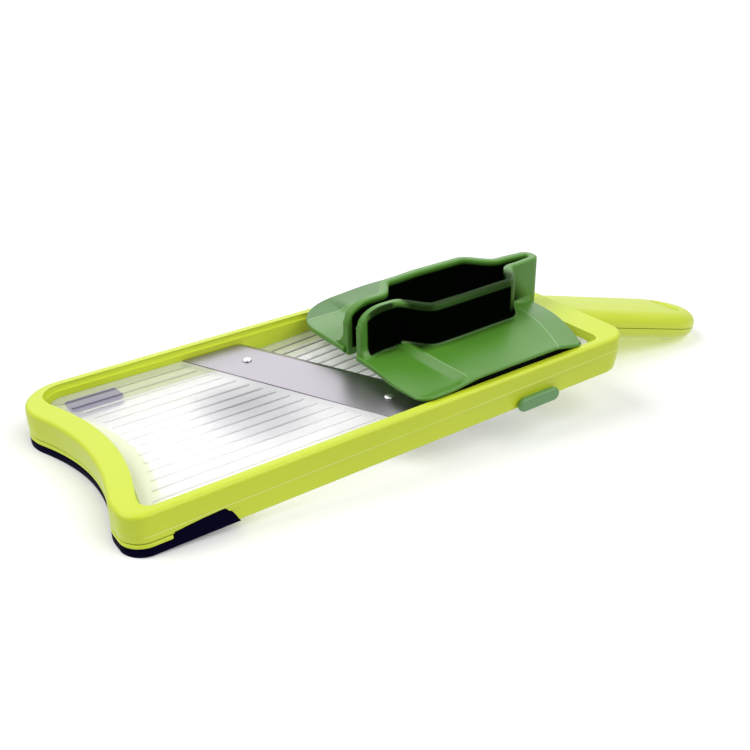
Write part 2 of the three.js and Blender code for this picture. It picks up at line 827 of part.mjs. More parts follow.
// The hollow inside one half of the handle, as far as its solid end.
function handleHollow(side) {
  const reach = block(handleWall, handleHollowLength, -halfWidth, halfWidth, -frameWidth, frameWidth);
  return handleHalf(side, handleWall).intersect(reach);
}

// The room that the tang takes between the two halves.
function tangRoom() {
  const half = tangWidth / 2 + restGap;
  const high = tangThickness / 2 + restGap;
  return block(-tangInFrame, tangLength + restGap, -half, half, -high, high);
}

// One shell of the handle, with a post round each screw.
function handleShell(side, postRadius) {
  const whole = handleHalf(side, 0);
  const posts = joined(handleScrewPlaces.map((x) => post(x, 0, -frameHeight, frameHeight, postRadius)));
  const holes = handleScrewPlaces.map((x) => handleScrewSolid(x, restGap));
  const recesses = handleScrewPlaces.map((x) => {
    const low = screwRecess - handleHeight(-1, x);
    return post(x, 0, -frameHeight, low + restGap, screwHeadRadius + restGap);
  });
  const shell = whole.subtract(handleHollow(side)).add(posts.intersect(whole));
  return clearOfFrame(shell.subtract(joined([...holes, ...recesses, hangSlot(), tangRoom()])));
}

function handleTang() {
  const half = tangWidth / 2;
  const high = tangThickness / 2;
  const bar = block(-tangInFrame, tangLength, -half, half, -high, high);
  const holes = handleScrewPlaces.map((x) => post(x, 0, -frameHeight, frameHeight, screwRadius + restGap));
  [-tangScrewSpacing / 2, tangScrewSpacing / 2].forEach((y) => {
    holes.push(post(frameScrewX, y, -frameHeight, frameHeight, screwRadius + restGap));
  });
  return onHandle(bar.subtract(joined(holes)));
}

// A smooth change from one value to another as t runs from 0 to 1.
function eased(from, to, t) {
  const share = Math.min(Math.max(t, 0), 1);
  return from + ((to - from) * (1 - Math.cos(Math.PI * share))) / 2;
}

// The chute's outline seen from above: narrow, then wide, then narrow again, moved in by a wall.
function chuteOutline(inset, start) {
  const widen = holderFront + chuteWidenAt + inset / 2;
  const close = holderFront + chuteCloseAt - inset / 2;
  const rearHalf = chuteRearHalf - inset;
  const rearMiddle = chuteRear - chuteRearHalf;
  const side = [[start, chuteFrontHalf - inset]];
  for (let step = 0; step <= chuteSteps; step += 1) {
    const x = widen + (chuteWidenLength * step) / chuteSteps;
    side.push([x, eased(chuteFrontHalf, chuteWideHalf, step / chuteSteps) - inset]);
  }
  for (let step = 0; step <= chuteSteps; step += 1) {
    const x = close + (chuteCloseLength * step) / chuteSteps;
    side.push([x, eased(chuteWideHalf, chuteRearHalf, step / chuteSteps) - inset]);
  }
  const mirrored = side.map(([x, y]) => [x, -y]);
  const end = arc(rearMiddle, 0, rearHalf, -Math.PI / 2, Math.PI / 2, roundSteps);
  return [...mirrored, ...end, ...side.reverse()];
}

// The plate's outline: straight in front, with round corners, and bowed at the rear.
function plateOutline() {
  const sideRear = holderRear - holderRearBow;
  const half = holderHalfWidth;
  const radius = (holderRearBow * holderRearBow + half * half) / (2 * holderRearBow);
  const lean = Math.asin((half - holderChamfer) / radius);
  const quarter = Math.PI / 2;
  const farX = holderFront + holderFarCorner;
  const nearX = holderFront + holderNearCorner;
  const nearY = holderNearCorner - half;
  return [
    ...arc(holderRear - radius, 0, radius, -lean, lean, bowSteps),
    [sideRear - holderChamfer, half],
    ...arc(farX, half - holderFarCorner, holderFarCorner, quarter, 2 * quarter, roundSteps),
    ...arc(nearX, nearY, holderNearCorner, 2 * quarter, 3 * quarter, nearCornerSteps),
    [sideRear - holderChamfer, -half],
  ];
}

// A section across the plate whose height is given at its middle, at a shoulder and at its sides.
function plateSection(middle, shoulderAt, side, thickness) {
  const half = holderHalfWidth + overrun;
  return [
    [-half, side - thickness],
    [-shoulderAt, middle - thickness],
    [shoulderAt, middle - thickness],
    [half, side - thickness],
    [half, side],
    [shoulderAt, middle],
    [-shoulderAt, middle],
    [-half, side],
  ];
}

// The plate before any opening is cut: a sunk front, a crowned middle and a rear that slopes down.
function holderPlate() {
  const stepX = holderFront + recessLength;
  const fallX = holderRear - rearFallLength;
  const low = plateSection(recessHeight, recessHalfWidth, edgeHeight, plateThickness);
  const sunk = drawnAlong(low, holderFront, stepX);
  const crown = plateSection(crownHeight, crownHalfWidth, edgeHeight, plateThickness);
  const middle = drawnAlong(crown, stepX - plateThickness, fallX);
  const deepCrown = plateSection(crownHeight, crownHalfWidth, edgeHeight, frameHeight);
  const lowUnder = recessHeight - plateThickness;
  const deepSunk = plateSection(lowUnder, recessHalfWidth, edgeHeight - plateThickness, frameHeight);
  const wallX = stepX - plateThickness;
  const under = drawnAlong(deepSunk, wallX - overrun, stepX + overrun);
  const step = drawnAlong(deepCrown, wallX, stepX).subtract(under);
  const options = { depth: 2 * rearFallLength, bevelEnabled: false };
  const fall = new THREE.ExtrudeGeometry(outline(crown), options);
  fall.rotateX(Math.PI / 2);
  fall.rotateZ(Math.PI / 2);
  fall.applyMatrix4(new THREE.Matrix4().makeShear(0, -rearFallSlope, 0, 0, 0, 0));
  fall.translate(fallX - samePoint, 0, 0);
  const whole = joined([sunk, middle, step, toSolid(fall)]);
  return whole.intersect(raised(plateOutline(), -frameHeight, frameWidth));
}

// Side view of what is missing in front of the chute's shoulder.
function chuteFrontCut() {
  const low = chuteHeight - chuteShoulderDrop;
  const quarter = Math.PI / 2;
  const curve = arc(0, 0, fullShare, 2 * quarter, quarter, cornerSteps).map(([x, z]) => [
    chuteFront + chuteShoulderLength * (fullShare + x),
    low + chuteShoulderDrop * z,
  ]);
  return [
    [holderFront - overrun, low],
    ...curve,
    [chuteFront + chuteShoulderLength, chuteHeight + overrun],
    [holderFront - overrun, chuteHeight + overrun],
  ];
}

function chuteDots() {
  const dots = [];
  for (let column = 0; column < dotsPerSide; column += 1) {
    for (let row = 0; row < dotsPerSide; row += 1) {
      const dot = new THREE.SphereGeometry(dotRadius, dotSides, dotRings);
      const x = chuteFront + dotFromFront + (column - 1) * dotPitch;
      dot.translate(x, -chuteFrontHalf, chuteHeight - dotFromRim - row * dotPitch);
      dots.push(toSolid(dot));
    }
  }
  return joined(dots);
}

function holderBase() {
  const low = restGap;
  const wall = raised(chuteOutline(0, chuteFront), low, chuteHeight, chuteEdge, thinBevelSteps);
  const way = raised(chuteOutline(chuteWall, holderFront - overrun), low - overrun, chuteHeight + overrun);
  const missing = drawnAcross(chuteFrontCut(), -halfWidth, halfWidth);
  return holderPlate().add(wall.subtract(missing)).add(chuteDots()).subtract(way);
}

// A runner under the plate's side, which slides on the step inside the rail.
function holderRunner(side) {
  const x0 = holderFront + (side < 0 ? nearRunnerInset : farRunnerInset);
  const x1 = holderRear - runnerRearInset - holderRearBow / 2;
  const outer = rimInner - restGap;
  const middle = side * (outer - runnerWidth / 2);
  const bottom = -stepDrop + restGap;
  const top = edgeHeight - plateThickness + restGap;
  const bar = block(x0, x1, middle - runnerWidth / 2, middle + runnerWidth / 2, bottom, top);
  const plate = holderPlate();
  return bar.subtract(plate).subtract(plate.translate([0, 0, -restGap]));
}

// Where the surface it stands on meets the level model: a line through the foot and under the handle.
function standing(handle) {
  const corner = new THREE.Vector2(soleLength, footBottom);
  const mesh = handle.getMesh();
  let lean = 0;
  for (let index = 0; index < mesh.vertProperties.length; index += 3) {
    const along = mesh.vertProperties[index] - corner.x;
    lean = Math.max(lean, Math.atan2(corner.y - mesh.vertProperties[index + 2], along));
  }
  const trim = handleSole / (frameLength + handleLength);
  return { corner, lean: lean - trim };
}

// Everything below the surface it stands on.
function belowFloor({ corner, lean }) {
  const under = new THREE.BoxGeometry(frameLength * 4, frameWidth * 2, frameWidth);
  under.translate(0, 0, -frameWidth / 2);
  under.rotateY(lean);
  under.translate(corner.x, 0, corner.y);
  return toSolid(under);
}

const lowerShell = handleShell(-1, seatRadius);
const stand = standing(lowerShell);
const floor = belowFloor(stand);

const level = new THREE.Group();
level.name = 'slicer_level';
level.add(piece('upper_frame', upperFrame(), lime));
level.add(piece('front_band', frontBand(), lime));
level.add(piece('front_foot', frontFoot().subtract(floor), footRubber));
footScrews().forEach((place) => {
  level.add(piece(place[0], footScrewSolid(place, 0), screwSteel));
});
level.add(piece('front_table', frontTable(), clearPlastic));
level.add(piece('blade', blade(), bladeSteel));
rivetPlaces().forEach((place) => {
  level.add(piece(place[1] < 0 ? 'blade_rivet_near' : 'blade_rivet_far', rivet(place), screwSteel));
});
level.add(piece('ramp', ramp(), clearPlastic));
level.add(piece('ramp_axle', rampAxle(), screwSteel));
level.add(piece('thickness_yoke', thicknessYoke(), whitePlastic));
level.add(piece('thickness_button', thicknessButton(), holderGreen));
level.add(piece('button_screw', buttonScrewSolid(0), screwSteel));
level.add(piece('detent_spring', detentSpring(), screwSteel));
level.add(piece('handle_upper', handleShell(1, bossRadius), lime));
level.add(piece('handle_lower', lowerShell.subtract(floor), lime));
level.add(piece('handle_tang', handleTang(), screwSteel));
level.add(piece('tang_screw_near', onHandle(tangScrewSolid(-tangScrewSpacing / 2, 0)), screwSteel));
level.add(piece('tang_screw_far', onHandle(tangScrewSolid(tangScrewSpacing / 2, 0)), screwSteel));
handleScrewPlaces.forEach((x, index) => {
  level.add(piece(handleScrewNames[index], onHandle(handleScrewSolid(x, 0)), screwSteel));
});
level.add(piece('holder', holderBase(), holderGreen));
level.add(piece('runner_near', holderRunner(-1), darkPlastic));
level.add(piece('runner_far', holderRunner(1), darkPlastic));

// Tips the slicer back onto its foot and its handle, with the surface it stands on at z = 0.
const corner = new THREE.Vector3(stand.corner.x, 0, stand.corner.y);
level.rotation.y = -stand.lean;
level.position.copy(corner.applyAxisAngle(new THREE.Vector3(0, 1, 0), -stand.lean).negate());

const tipped = new THREE.Group();
tipped.name = 'slicer_tipped';
tipped.add(level);
const bounds = new THREE.Box3().setFromObject(tipped, true);
const centre = bounds.getCenter(new THREE.Vector3());
tipped.position.set(-centre.x, -centre.y, -bounds.min.z);

const group = new THREE.Group();
group.name = 'mandoline_slicer';
group.add(tipped);

export default group;
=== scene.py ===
"""Handheld mandoline slicer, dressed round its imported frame.

Shapes are worked out level, in millimetres: x runs from the hollowed front edge to the handle, y to
the far side, and z = 0 is the top of the rim. stood() then tips them onto the foot and the handle.
"""
import math

import bmesh
import bpy
import numpy as np
from mathutils import Matrix, Vector


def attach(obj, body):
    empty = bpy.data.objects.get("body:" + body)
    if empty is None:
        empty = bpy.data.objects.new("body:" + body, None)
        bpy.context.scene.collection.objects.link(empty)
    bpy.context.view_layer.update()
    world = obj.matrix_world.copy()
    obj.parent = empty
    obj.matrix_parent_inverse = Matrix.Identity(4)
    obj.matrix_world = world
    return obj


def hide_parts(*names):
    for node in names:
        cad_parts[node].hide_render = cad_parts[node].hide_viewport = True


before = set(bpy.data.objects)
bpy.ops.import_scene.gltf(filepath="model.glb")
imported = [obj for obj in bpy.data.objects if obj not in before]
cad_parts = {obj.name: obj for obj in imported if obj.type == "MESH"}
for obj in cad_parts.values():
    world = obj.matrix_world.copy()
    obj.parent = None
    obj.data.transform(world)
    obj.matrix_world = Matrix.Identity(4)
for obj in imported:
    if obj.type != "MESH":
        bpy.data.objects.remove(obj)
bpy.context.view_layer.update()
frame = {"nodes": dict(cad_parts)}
nodes = frame["nodes"]

# Where the level slicer stands in the frame
LEAN = math.radians(5.275611695)
SHIFT = np.array([-183.169544, 1.5, 16.682667])
MM = 0.001

# Frame
LENGTH = 246.5
HALF = 57.0
HEIGHT = 17.0
NOTCH, NOTCH_HALF = 7.2, 38.0
INNER_NOTCH, INNER_NOTCH_HALF = 8.8, 42.5
NOTCH_MIDDLE = -3.0
NOTCH_LEAN = 1.8
NEAR_RADIUS, FAR_RADIUS = 9.0, 19.0
INNER_NEAR_RADIUS, INNER_FAR_RADIUS = 4.5, 10.0
REAR_RADIUS = 10.0
RIM_INNER = 52.7
RAIL_INNER = 50.9
FRONT_BEZEL = 8.6
REAR_INNER = 231.0
STEP_DROP = 2.1
SHELL = 2.8
RAIL_DEPTH = 9.6
LEDGE_TOP = -7.9
LEDGE_SIDE, LEDGE_FRONT, LEDGE_FADE = 2.4, 9.0, 2.0
RAIL_IN = 1.8
RIM_EDGE, INNER_EDGE, LOW_EDGE = 1.7, 0.5, 0.8
REAR_SOFT = 2.0
FOOT_COVER = 0.9
BULGE, BULGE_DEPTH, BULGE_DRAW = 0.9, 4.0, 2.8
SEAM_Z, SEAM_SLOPE = -9.05, 0.0105
GROOVE_Z = -11.6
SIDE_STEPS = 60

# Foot and front band
FOOT_HALF = 2.6
FOOT_TOP, FOOT_BOTTOM = -13.6, -17.4
FLARE_END = 42.5
TAB_X, TAB_Y, TAB_Z = 29.8, 44.8, -11.2
BAR_HALF = 11.6
BAND_Z, BAND_RISE, BAND_END = -12.7, 0.9, 16.5
FRONT_EDGE = [
    (0, -11.35), (16.4, -11.35), (16.7, -10.6), (20.7, -10.4), (26.2, -9.85),
    (30.4, -9.5), (34.8, -9.25), (36.2, -9.35), (37.4, -9.9), (39.8, -12.4),
    (41.6, -15.2), (42.5, -17.2), (43.2, -20.0),
]

# Blade and tables
SLANT = math.radians(24.2)
BLADE_FRONT = 96.3
BLADE_WIDTH = 27.9
TABLE_END = 22.9
RIB_PITCH = 6.3
RIB_HALF = 0.45
RIB_ARC_X, RIB_ARC = -74.7, 100.0
RIVET_HALF = 2.1
RIVET_RISE = 0.75
RIVET_SEAT = -4.35
RIVET_ACROSS = 33.0
RIVET_TURNS = 32

# Handle
HANDLE_ANGLE = math.atan(0.286)
HANDLE_DROP = 11.6
HANDLE_LENGTH = 121.5

# Holder
BOW, BOW_POWER = 13.2, 2.4
BOW_START, BOW_RUN = 165, 50
CREASE_X = 216.2
CREST_X = 150.4
FLANK_Y = 39.9
CHUTE_MIDDLE = -1.9
CLOSING_X = 203.0
CREST_FROM, CREST_TO = -50.5, -25.5
NEAR_OUTSIDE, CLOSING_SLOPE, CLOSING_DRAW = 18.9, 0.82, 13.5
STEP_BOW = 3.6
HOLDER_FRONT = 128.5
HOLDER_REAR = 231.5
HOLDER_HALF = 53.6
NEAR_CORNER, FAR_CORNER = 6.0, 28.0
CHUTE_FRONT = 130.5
LIP_END, LIP_RUN = 143.0, 12.5
LIP_LOW, LIP_RISE = 16.0, 8.0


def stood(points):
    """Level millimetres to the frame's metres: a turn about Y by the lean, then a shift."""
    c, s = math.cos(LEAN), math.sin(LEAN)
    x, y, z = points[..., 0], points[..., 1], points[..., 2]
    turned = np.stack([x * c - z * s, y, x * s + z * c], -1)
    return (turned + SHIFT) * MM


# Meshes


def make_piece(name, parts, material, body, hides=(), smooth=40, weld=False, cutter=None):
    """Joins (points, faces) parts in level millimetres into one mesh that rides on a body."""
    points = np.concatenate([np.asarray(p, float).reshape(-1, 3) for p, _ in parts])
    faces, start = [], 0
    for p, f in parts:
        faces += [[int(v) + start for v in face] for face in f]
        start += len(np.asarray(p).reshape(-1, 3))
    mesh = bpy.data.meshes.new(name)
    mesh.from_pydata(stood(points).tolist(), [], faces)
    mesh.validate()
    if weld:
        fix_normals(mesh)
    piece = bpy.data.objects.new(name, mesh)
    bpy.context.scene.collection.objects.link(piece)
    if cutter:
        cut(piece, *cutter)
        mesh = piece.data
    mesh.shade_smooth()
    mesh.set_sharp_from_angle(angle=math.radians(smooth))
    mesh.materials.clear()
    mesh.materials.append(material)
    if hides:
        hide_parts(*hides)
    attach(piece, body)
    return piece


def grid_faces(rows, columns, wrap_rows=False, wrap_columns=False):
    """Quads of a grid of points in row order, joined at its ends where it wraps."""
    r = np.arange(rows if wrap_rows else rows - 1)
    c = np.arange(columns if wrap_columns else columns - 1)
    r, c = np.meshgrid(r, c, indexing="ij")
    r1, c1 = (r + 1) % rows, (c + 1) % columns
    quads = np.stack([r * columns + c, r * columns + c1, r1 * columns + c1, r1 * columns + c], -1)
    return quads.reshape(-1, 4)


def turned_out(points, faces):
    """Turns all faces round if the closed surface's signed volume is negative."""
    p = np.asarray(points, float).reshape(-1, 3)
    f = np.asarray(faces)
    a, b, c, d = (p[f[:, i]] for i in range(4))
    volume = sum(np.einsum("ij,ij->i", a, np.cross(*pair)).sum() for pair in ((b, c), (c, d)))
    return points, (f[:, ::-1] if volume < 0 else f)


def arc(cx, cy, radius, start, end, steps):
    """Points on a circle from one angle to another."""
    a = np.linspace(start, end, steps + 1)
    return np.stack([cx + radius * np.cos(a), cy + radius * np.sin(a)], -1)


def smooth_step(t):
    """3t² - 2t³ of t held between 0 and 1."""
    t = np.clip(t, 0, 1)
    return t * t * (3 - 2 * t)


def soft_part(t, blur):
    """The positive part of t, rounded off near zero."""
    return 0.5 * (t + np.sqrt(t**2 + blur))


def hollow(y, half=NOTCH_HALF):
    """How far the front edge draws in at y, as a share of its depth: 1 - ((y - middle) / half)²,
    held above 0."""
    return soft_part(1 - ((y - NOTCH_MIDDLE) / half) ** 2, 0.01)


def ring(
    front, rear, half, near_corner, far_corner, rear_corner, notch=NOTCH, notch_half=NOTCH_HALF
):
    """Outline with straight sides and rear, round corners and a hollowed front edge."""
    near_y, far_y = near_corner - half, half - far_corner
    q = math.pi / 2
    side = np.linspace(0, 1, SIDE_STEPS + 2)[1:-1, None]
    near = arc(rear - rear_corner, rear_corner - half, rear_corner, -q, 0, 14)
    far = arc(rear - rear_corner, half - rear_corner, rear_corner, 0, q, 14)
    far_front = arc(front + far_corner, far_y, far_corner, q, math.pi, 18)
    near_front = arc(front + near_corner, near_y, near_corner, math.pi, math.pi + q, 18)
    y = np.linspace(far_y, near_y, 72)[1:-1]
    middle = np.stack([front + notch * hollow(y, notch_half), y], -1)
    far_side = far[-1] + (far_front[0] - far[-1]) * side
    near_side = near_front[-1] + (near[0] - near_front[-1]) * side
    return np.concatenate([near, far, far_side, far_front, middle, near_front, near_side])


def outer(inset, rear_out=0.0, corner=0.0):
    """The frame's outline at an inset, with its rear moved out and its rear corners widened."""
    size = inset, LENGTH - inset + rear_out, HALF - inset
    return ring(*size, NEAR_RADIUS - inset, FAR_RADIUS - inset, REAR_RADIUS - inset + corner)


def opening(side=0.0):
    """The outline of the frame's opening, with its sides drawn in."""
    size = FRONT_BEZEL, REAR_INNER, RIM_INNER - side
    return ring(*size, INNER_NEAR_RADIUS, INNER_FAR_RADIUS, 5.0, INNER_NOTCH, INNER_NOTCH_HALF)


def level_rows(rows):
    """Rows of (outline, height) as one closed stack; its hollowed front leans in further down."""
    grid = np.stack([np.column_stack([o, np.full(len(o), z)]) for o, z in rows])
    grid[..., 0] += NOTCH_LEAN * hollow(grid[..., 1]) * (grid[..., 0] < 60) * -grid[..., 2] / HEIGHT
    return turned_out(grid, grid_faces(*grid.shape[:2], wrap_rows=True, wrap_columns=True))


def fillet(radius, start, end, steps):
    """Offsets (along, up) on a rounded edge, as shares of its radius."""
    a = np.radians(np.linspace(start, end, steps + 1))
    return np.stack([radius * np.cos(a), radius * np.sin(a)], -1)


def sheet(top, bottom):
    """Closes two grids of points, one over the other, round their border."""
    rows, columns = top.shape[:2]
    count = rows * columns
    index = np.arange(count).reshape(rows, columns)
    loop = np.concatenate([index[:, 0], index[-1, 1:], index[-2::-1, -1], index[0, -2:0:-1]])
    after = np.roll(loop, -1)
    quads = grid_faces(rows, columns)
    strip = np.stack([after, loop, loop + count, after + count], -1)
    points = np.concatenate([top.reshape(-1, 3), bottom.reshape(-1, 3)])
    return turned_out(points, np.concatenate([quads, quads[:, ::-1] + count, strip]))


def edge_distance(points, border):
    """Least distance from each point to the segments of a polyline."""
    a, b = border[:-1], border[1:]
    ab = b - a
    length = np.maximum((ab**2).sum(-1), 1e-12)
    least = np.empty(len(points))
    for i in range(0, len(points), 1000):
        ap = points[i : i + 1000, None] - a[None]
        t = np.clip((ap * ab).sum(-1) / length, 0, 1)
        least[i : i + 1000] = np.sqrt(((ap - ab * t[..., None]) ** 2).sum(-1)).min(1)
    return least


def slab(path, normals, low, top, half, edge, extra=None, low_edge=False):
    """An upright wall along a path. Its outline in (length along the path, height) is given by low
    and top for each point; the half thickness shrinks near that outline as a rounded edge does:
    half - edge + sqrt(edge² - (edge - d)²), with d the distance to the outline."""
    v = np.concatenate([
        np.linspace(0, 0.12, 7),
        np.linspace(0.16, 0.84, 14),
        np.linspace(0.88, 1, 7),
    ])
    s = np.concatenate([[0], np.cumsum(np.linalg.norm(np.diff(path, axis=0), axis=1))])
    z = low[:, None] + (top - low)[:, None] * v
    along = np.broadcast_to(s[:, None], z.shape)
    sides = [(s[0], low[0]), *zip(s, top), (s[-1], low[-1])]
    outline = sides + list(zip(s[::-1], low[::-1])) if low_edge else sides
    d = edge_distance(np.stack([along.ravel(), z.ravel()], -1), np.array(outline)).reshape(z.shape)
    thick = half - edge + np.sqrt(edge**2 - np.maximum(edge - d, 0) ** 2)
    grown = thick + (extra(path[:, :1], path[:, 1:], z) if extra else 0)
    faces = []
    for offset in (grown, -thick):
        plan = path[:, None] + normals[:, None] * offset[..., None]
        faces.append(np.concatenate([plan, z[..., None]], -1))
    return sheet(*faces)


def side_normals(path, side=1.0):
    """Unit normals on the left of a path, or on its right where side is -1."""
    tangent = np.gradient(path, axis=0)
    tangent /= np.linalg.norm(tangent, axis=1)[:, None]
    return side * np.stack([-tangent[:, 1], tangent[:, 0]], -1)


def along_x(xs, y, towards=1.0):
    """A straight path along x at one y, and its normals along y."""
    path = np.stack([xs, np.full(len(xs), y)], -1)
    return path, np.broadcast_to(np.array([0.0, towards]), path.shape)


def round_bar(middle, half, end, height, steps, least):
    """Lengths of a bar with round ends, closest at its ends, and its half height at each of them:
    height * sqrt(1 - (past / end)²), with past the length beyond the straight part."""
    xs = middle + half * np.sin(np.linspace(-math.pi / 2, math.pi / 2, steps))
    past = np.maximum(np.abs(xs - middle) - (half - end), 0) / end
    return xs, height * np.sqrt(np.maximum(1 - past**2, least))


# Materials


class Value:
    """A socket of a node tree, on which + - * / and powers add Math nodes."""

    def __init__(self, nodes, socket):
        self.nodes, self.socket = nodes, socket

    def math(self, operation, a, b=0.0):
        return self.nodes.add("ShaderNodeMath", {"operation": operation}, {0: a, 1: b})

    def __add__(self, other):
        return self.math("ADD", self, other)

    def __sub__(self, other):
        return self.math("SUBTRACT", self, other)

    def __rsub__(self, other):
        return self.math("SUBTRACT", other, self)

    def __mul__(self, other):
        return self.math("MULTIPLY", self, other)

    def __truediv__(self, other):
        return self.math("DIVIDE", self, other)

    def __pow__(self, other):
        return self.math("POWER", self, other)

    __radd__, __rmul__ = __add__, __mul__

    def size(self):
        return self.math("ABSOLUTE", self)

    def least(self, other):
        return self.math("MINIMUM", self, other)

    def most(self, other):
        return self.math("MAXIMUM", self, other)

    def held(self):
        """Held between 0 and 1."""
        return self.most(0.0).least(1.0)

    def fade(self, width):
        """Falls from 1 at zero to 0 at a width."""
        return 1.0 - (self / width).least(1.0)

    def eased(self, low, high):
        """Smooth rise from 0 at low to 1 at high."""
        inputs = {"Value": self, "From Min": low, "From Max": high}
        return self.nodes.add("ShaderNodeMapRange", {"interpolation_type": "SMOOTHSTEP"}, inputs)


class Nodes:
    """A node tree: add() makes a node, sets it up and gives its output as a Value."""

    def __init__(self, tree):
        self.tree = tree

    def add(self, kind, settings, inputs, output=0):
        node = self.tree.nodes.new(kind)
        for key, value in settings.items():
            setattr(node, key, value)
        for key, value in inputs.items():
            if isinstance(value, Value):
                self.tree.links.new(value.socket, node.inputs[key])
            else:
                node.inputs[key].default_value = value
        return Value(self, node.outputs[output])

    def found(self, kind):
        return next(n for n in self.tree.nodes if n.type == kind)

    def split(self, vector):
        node = self.add("ShaderNodeSeparateXYZ", {}, {0: vector}).socket.node
        return [Value(self, socket) for socket in node.outputs]

    def seen_by(self, *rays):
        """1 where one of the named kinds of ray looks, else 0."""
        outputs = self.add("ShaderNodeLightPath", {}, {}).socket.node.outputs
        total = Value(self, outputs[f"Is {rays[0]} Ray"])
        for ray in rays[1:]:
            total = total.most(Value(self, outputs[f"Is {ray} Ray"]))
        return total


class Material(Nodes):
    """A surface: its shader's plain sockets, and the values fed to the others."""

    def __init__(self, name, **plain):
        self.material = bpy.data.materials.new(name)
        self.material.use_nodes = True
        super().__init__(self.material.node_tree)
        self.shader = self.found("BSDF_PRINCIPLED")
        for socket, value in plain.items():
            self.shader.inputs[socket.replace("_", " ")].default_value = value
        self.place = self.add("ShaderNodeTexCoord", {}, {}, "Object")

    def level(self):
        """Level millimetres of the shaded point."""
        x, y, z = (part / MM - shift for part, shift in zip(self.split(self.place), SHIFT.tolist()))
        c, s = math.cos(LEAN), math.sin(LEAN)
        return x * c + z * s, y, z * c - x * s

    def feed(self, socket, value):
        self.tree.links.new(value.socket, self.shader.inputs[socket])

    def noise(self, scale, detail=2.0, place=None, roughness=0.5):
        inputs = {"Scale": scale, "Detail": detail, "Roughness": roughness}
        return self.add("ShaderNodeTexNoise", {}, {"Vector": place or self.place, **inputs})

    def mix(self, factor, a, b):
        settings = {"data_type": "RGBA"}
        return self.add("ShaderNodeMix", settings, {0: factor, 6: a, 7: b}, 2)

    def cloudy(self, dark, colour, scale=35.0):
        """A colour that drifts towards a darker one in faint clouds."""
        return self.mix(self.noise(scale, 3.0), (*dark, 1), (*colour, 1))

    def skin(self, roughness, grain=0.00002):
        """A moulded skin: a roughness that drifts a little, and a fine spark-eroded grain."""
        self.feed("Roughness", self.noise(60.0, 2.0) * 0.12 + (roughness - 0.06))
        self.bump(self.noise(1800.0, 2.0), 0.25, grain)

    def bump(self, height, strength, distance):
        inputs = {"Height": height, "Strength": strength, "Distance": distance}
        self.feed("Normal", self.add("ShaderNodeBump", {}, inputs))

    def stretched(self, scale, turn=0.0):
        settings = {"vector_type": "POINT"}
        inputs = {"Vector": self.place, "Scale": scale, "Rotation": (0, 0, turn)}
        return self.add("ShaderNodeMapping", settings, inputs)


def moulded(name, colour, dark, roughness, grain=0.00002, **plain):
    """Moulded plastic: a cloudy colour and a moulded skin."""
    made = Material(name, **plain)
    made.feed("Base Color", made.cloudy(dark, colour))
    made.skin(roughness, grain)
    return made.material


DULL = 0.02
LIME, LIME_DEEP = (0.64, 0.755, 0.034), (0.585, 0.70, 0.026)
# Painted highlight for the crease along the frame's sides, and painted shade for the groove over the
# front band.
LIME_HIGHLIGHT, GROOVE_SHADE = (0.86, 0.93, 0.30, 1), (0.20, 0.24, 0.005, 1)
lime = moulded("lime_plastic", LIME, LIME_DEEP, 0.36)
GREEN, DEEP_GREEN = (0.090, 0.270, 0.028), (0.078, 0.245, 0.022)
# Painted shade for the far flank, then a painted highlight for the plate's fine pale lines.
FLANK_SHADE, CREST_HIGHLIGHT = (0.035, 0.12, 0.035, 1), (0.55, 0.72, 0.42, 1)
# Near black for the painted shade on the chute's wall.
WALL_SHADE_BLACK = (0.001, 0.002, 0.001, 1)
BUTTON_GREEN, BUTTON_DEEP = (0.150, 0.330, 0.125), (0.130, 0.295, 0.105)
green = moulded("green_plastic", BUTTON_GREEN, BUTTON_DEEP, 0.34)
white_plastic = moulded("white_plastic", (0.80, 0.80, 0.76), (0.74, 0.74, 0.70), 0.4)
dark_plastic = moulded("dark_plastic", (0.010, 0.014, 0.010), (0.006, 0.008, 0.006), 0.5)
# Near black without sheen, for strips that paint the shade in the gaps under the holder's plate.
GAP_SHADE_BLACK, GAP_SHADE_DEEP = (0.002, 0.003, 0.003), (0.001, 0.002, 0.002)
gap_shade_plastic = moulded("gap_shade_plastic", GAP_SHADE_BLACK, GAP_SHADE_DEEP, 0.7, Specular_IOR_Level=DULL)
FOOT_NAVY, FOOT_DEEP = (0.0015, 0.0008, 0.014), (0.0010, 0.0005, 0.010)
rubber = moulded("foot_rubber", FOOT_NAVY, FOOT_DEEP, 0.6, 0.00005, Specular_IOR_Level=DULL)


def frame_lime():
    """The frame's lime, with a painted highlight as a fine pale line along the crease of its sides,
    and painted shade as a dark line in the groove over the front band.
    """
    made = Material("frame_plastic")
    base = made.cloudy(LIME_DEEP, LIME)
    x, y, z = made.level()
    on_side = y.size().eased(HALF - 1.0, HALF - 0.4)
    seam_highlight = (z - SEAM_Z - x * SEAM_SLOPE).size().fade(0.3) * on_side
    groove_shading = (z - GROOVE_Z).size().fade(0.6) * x.eased(17.2, 16.6)
    highlighted = made.mix(seam_highlight * 0.8, base, LIME_HIGHLIGHT)
    made.feed("Base Color", made.mix(groove_shading, highlighted, GROOVE_SHADE))
    made.skin(0.36)
    return made.material


def plate_highlights(x, y, z):
    """Where painted highlights run as fine pale lines on the holder's plate: along the rear crease,
    the edge of the far flank, and the near crest of the step."""
    a = y.size()
    crease = (x - CREASE_X + (a / HOLDER_HALF) ** BOW_POWER * BOW).size()
    flank = (y - FLANK_Y).size() + (x - 154.0).most(0.0)
    beyond_crest = (y - CREST_TO).most(0.0) + (CREST_FROM - y).most(0.0)
    crest = (x - CREST_X - (a / HOLDER_HALF) ** 2 * STEP_BOW).size() + beyond_crest
    on_plate = a.eased(13.0, 16.0) * (7.5 - z).eased(0.0, 0.5)
    return crease.least(flank).least(crest).fade(0.4) * on_plate


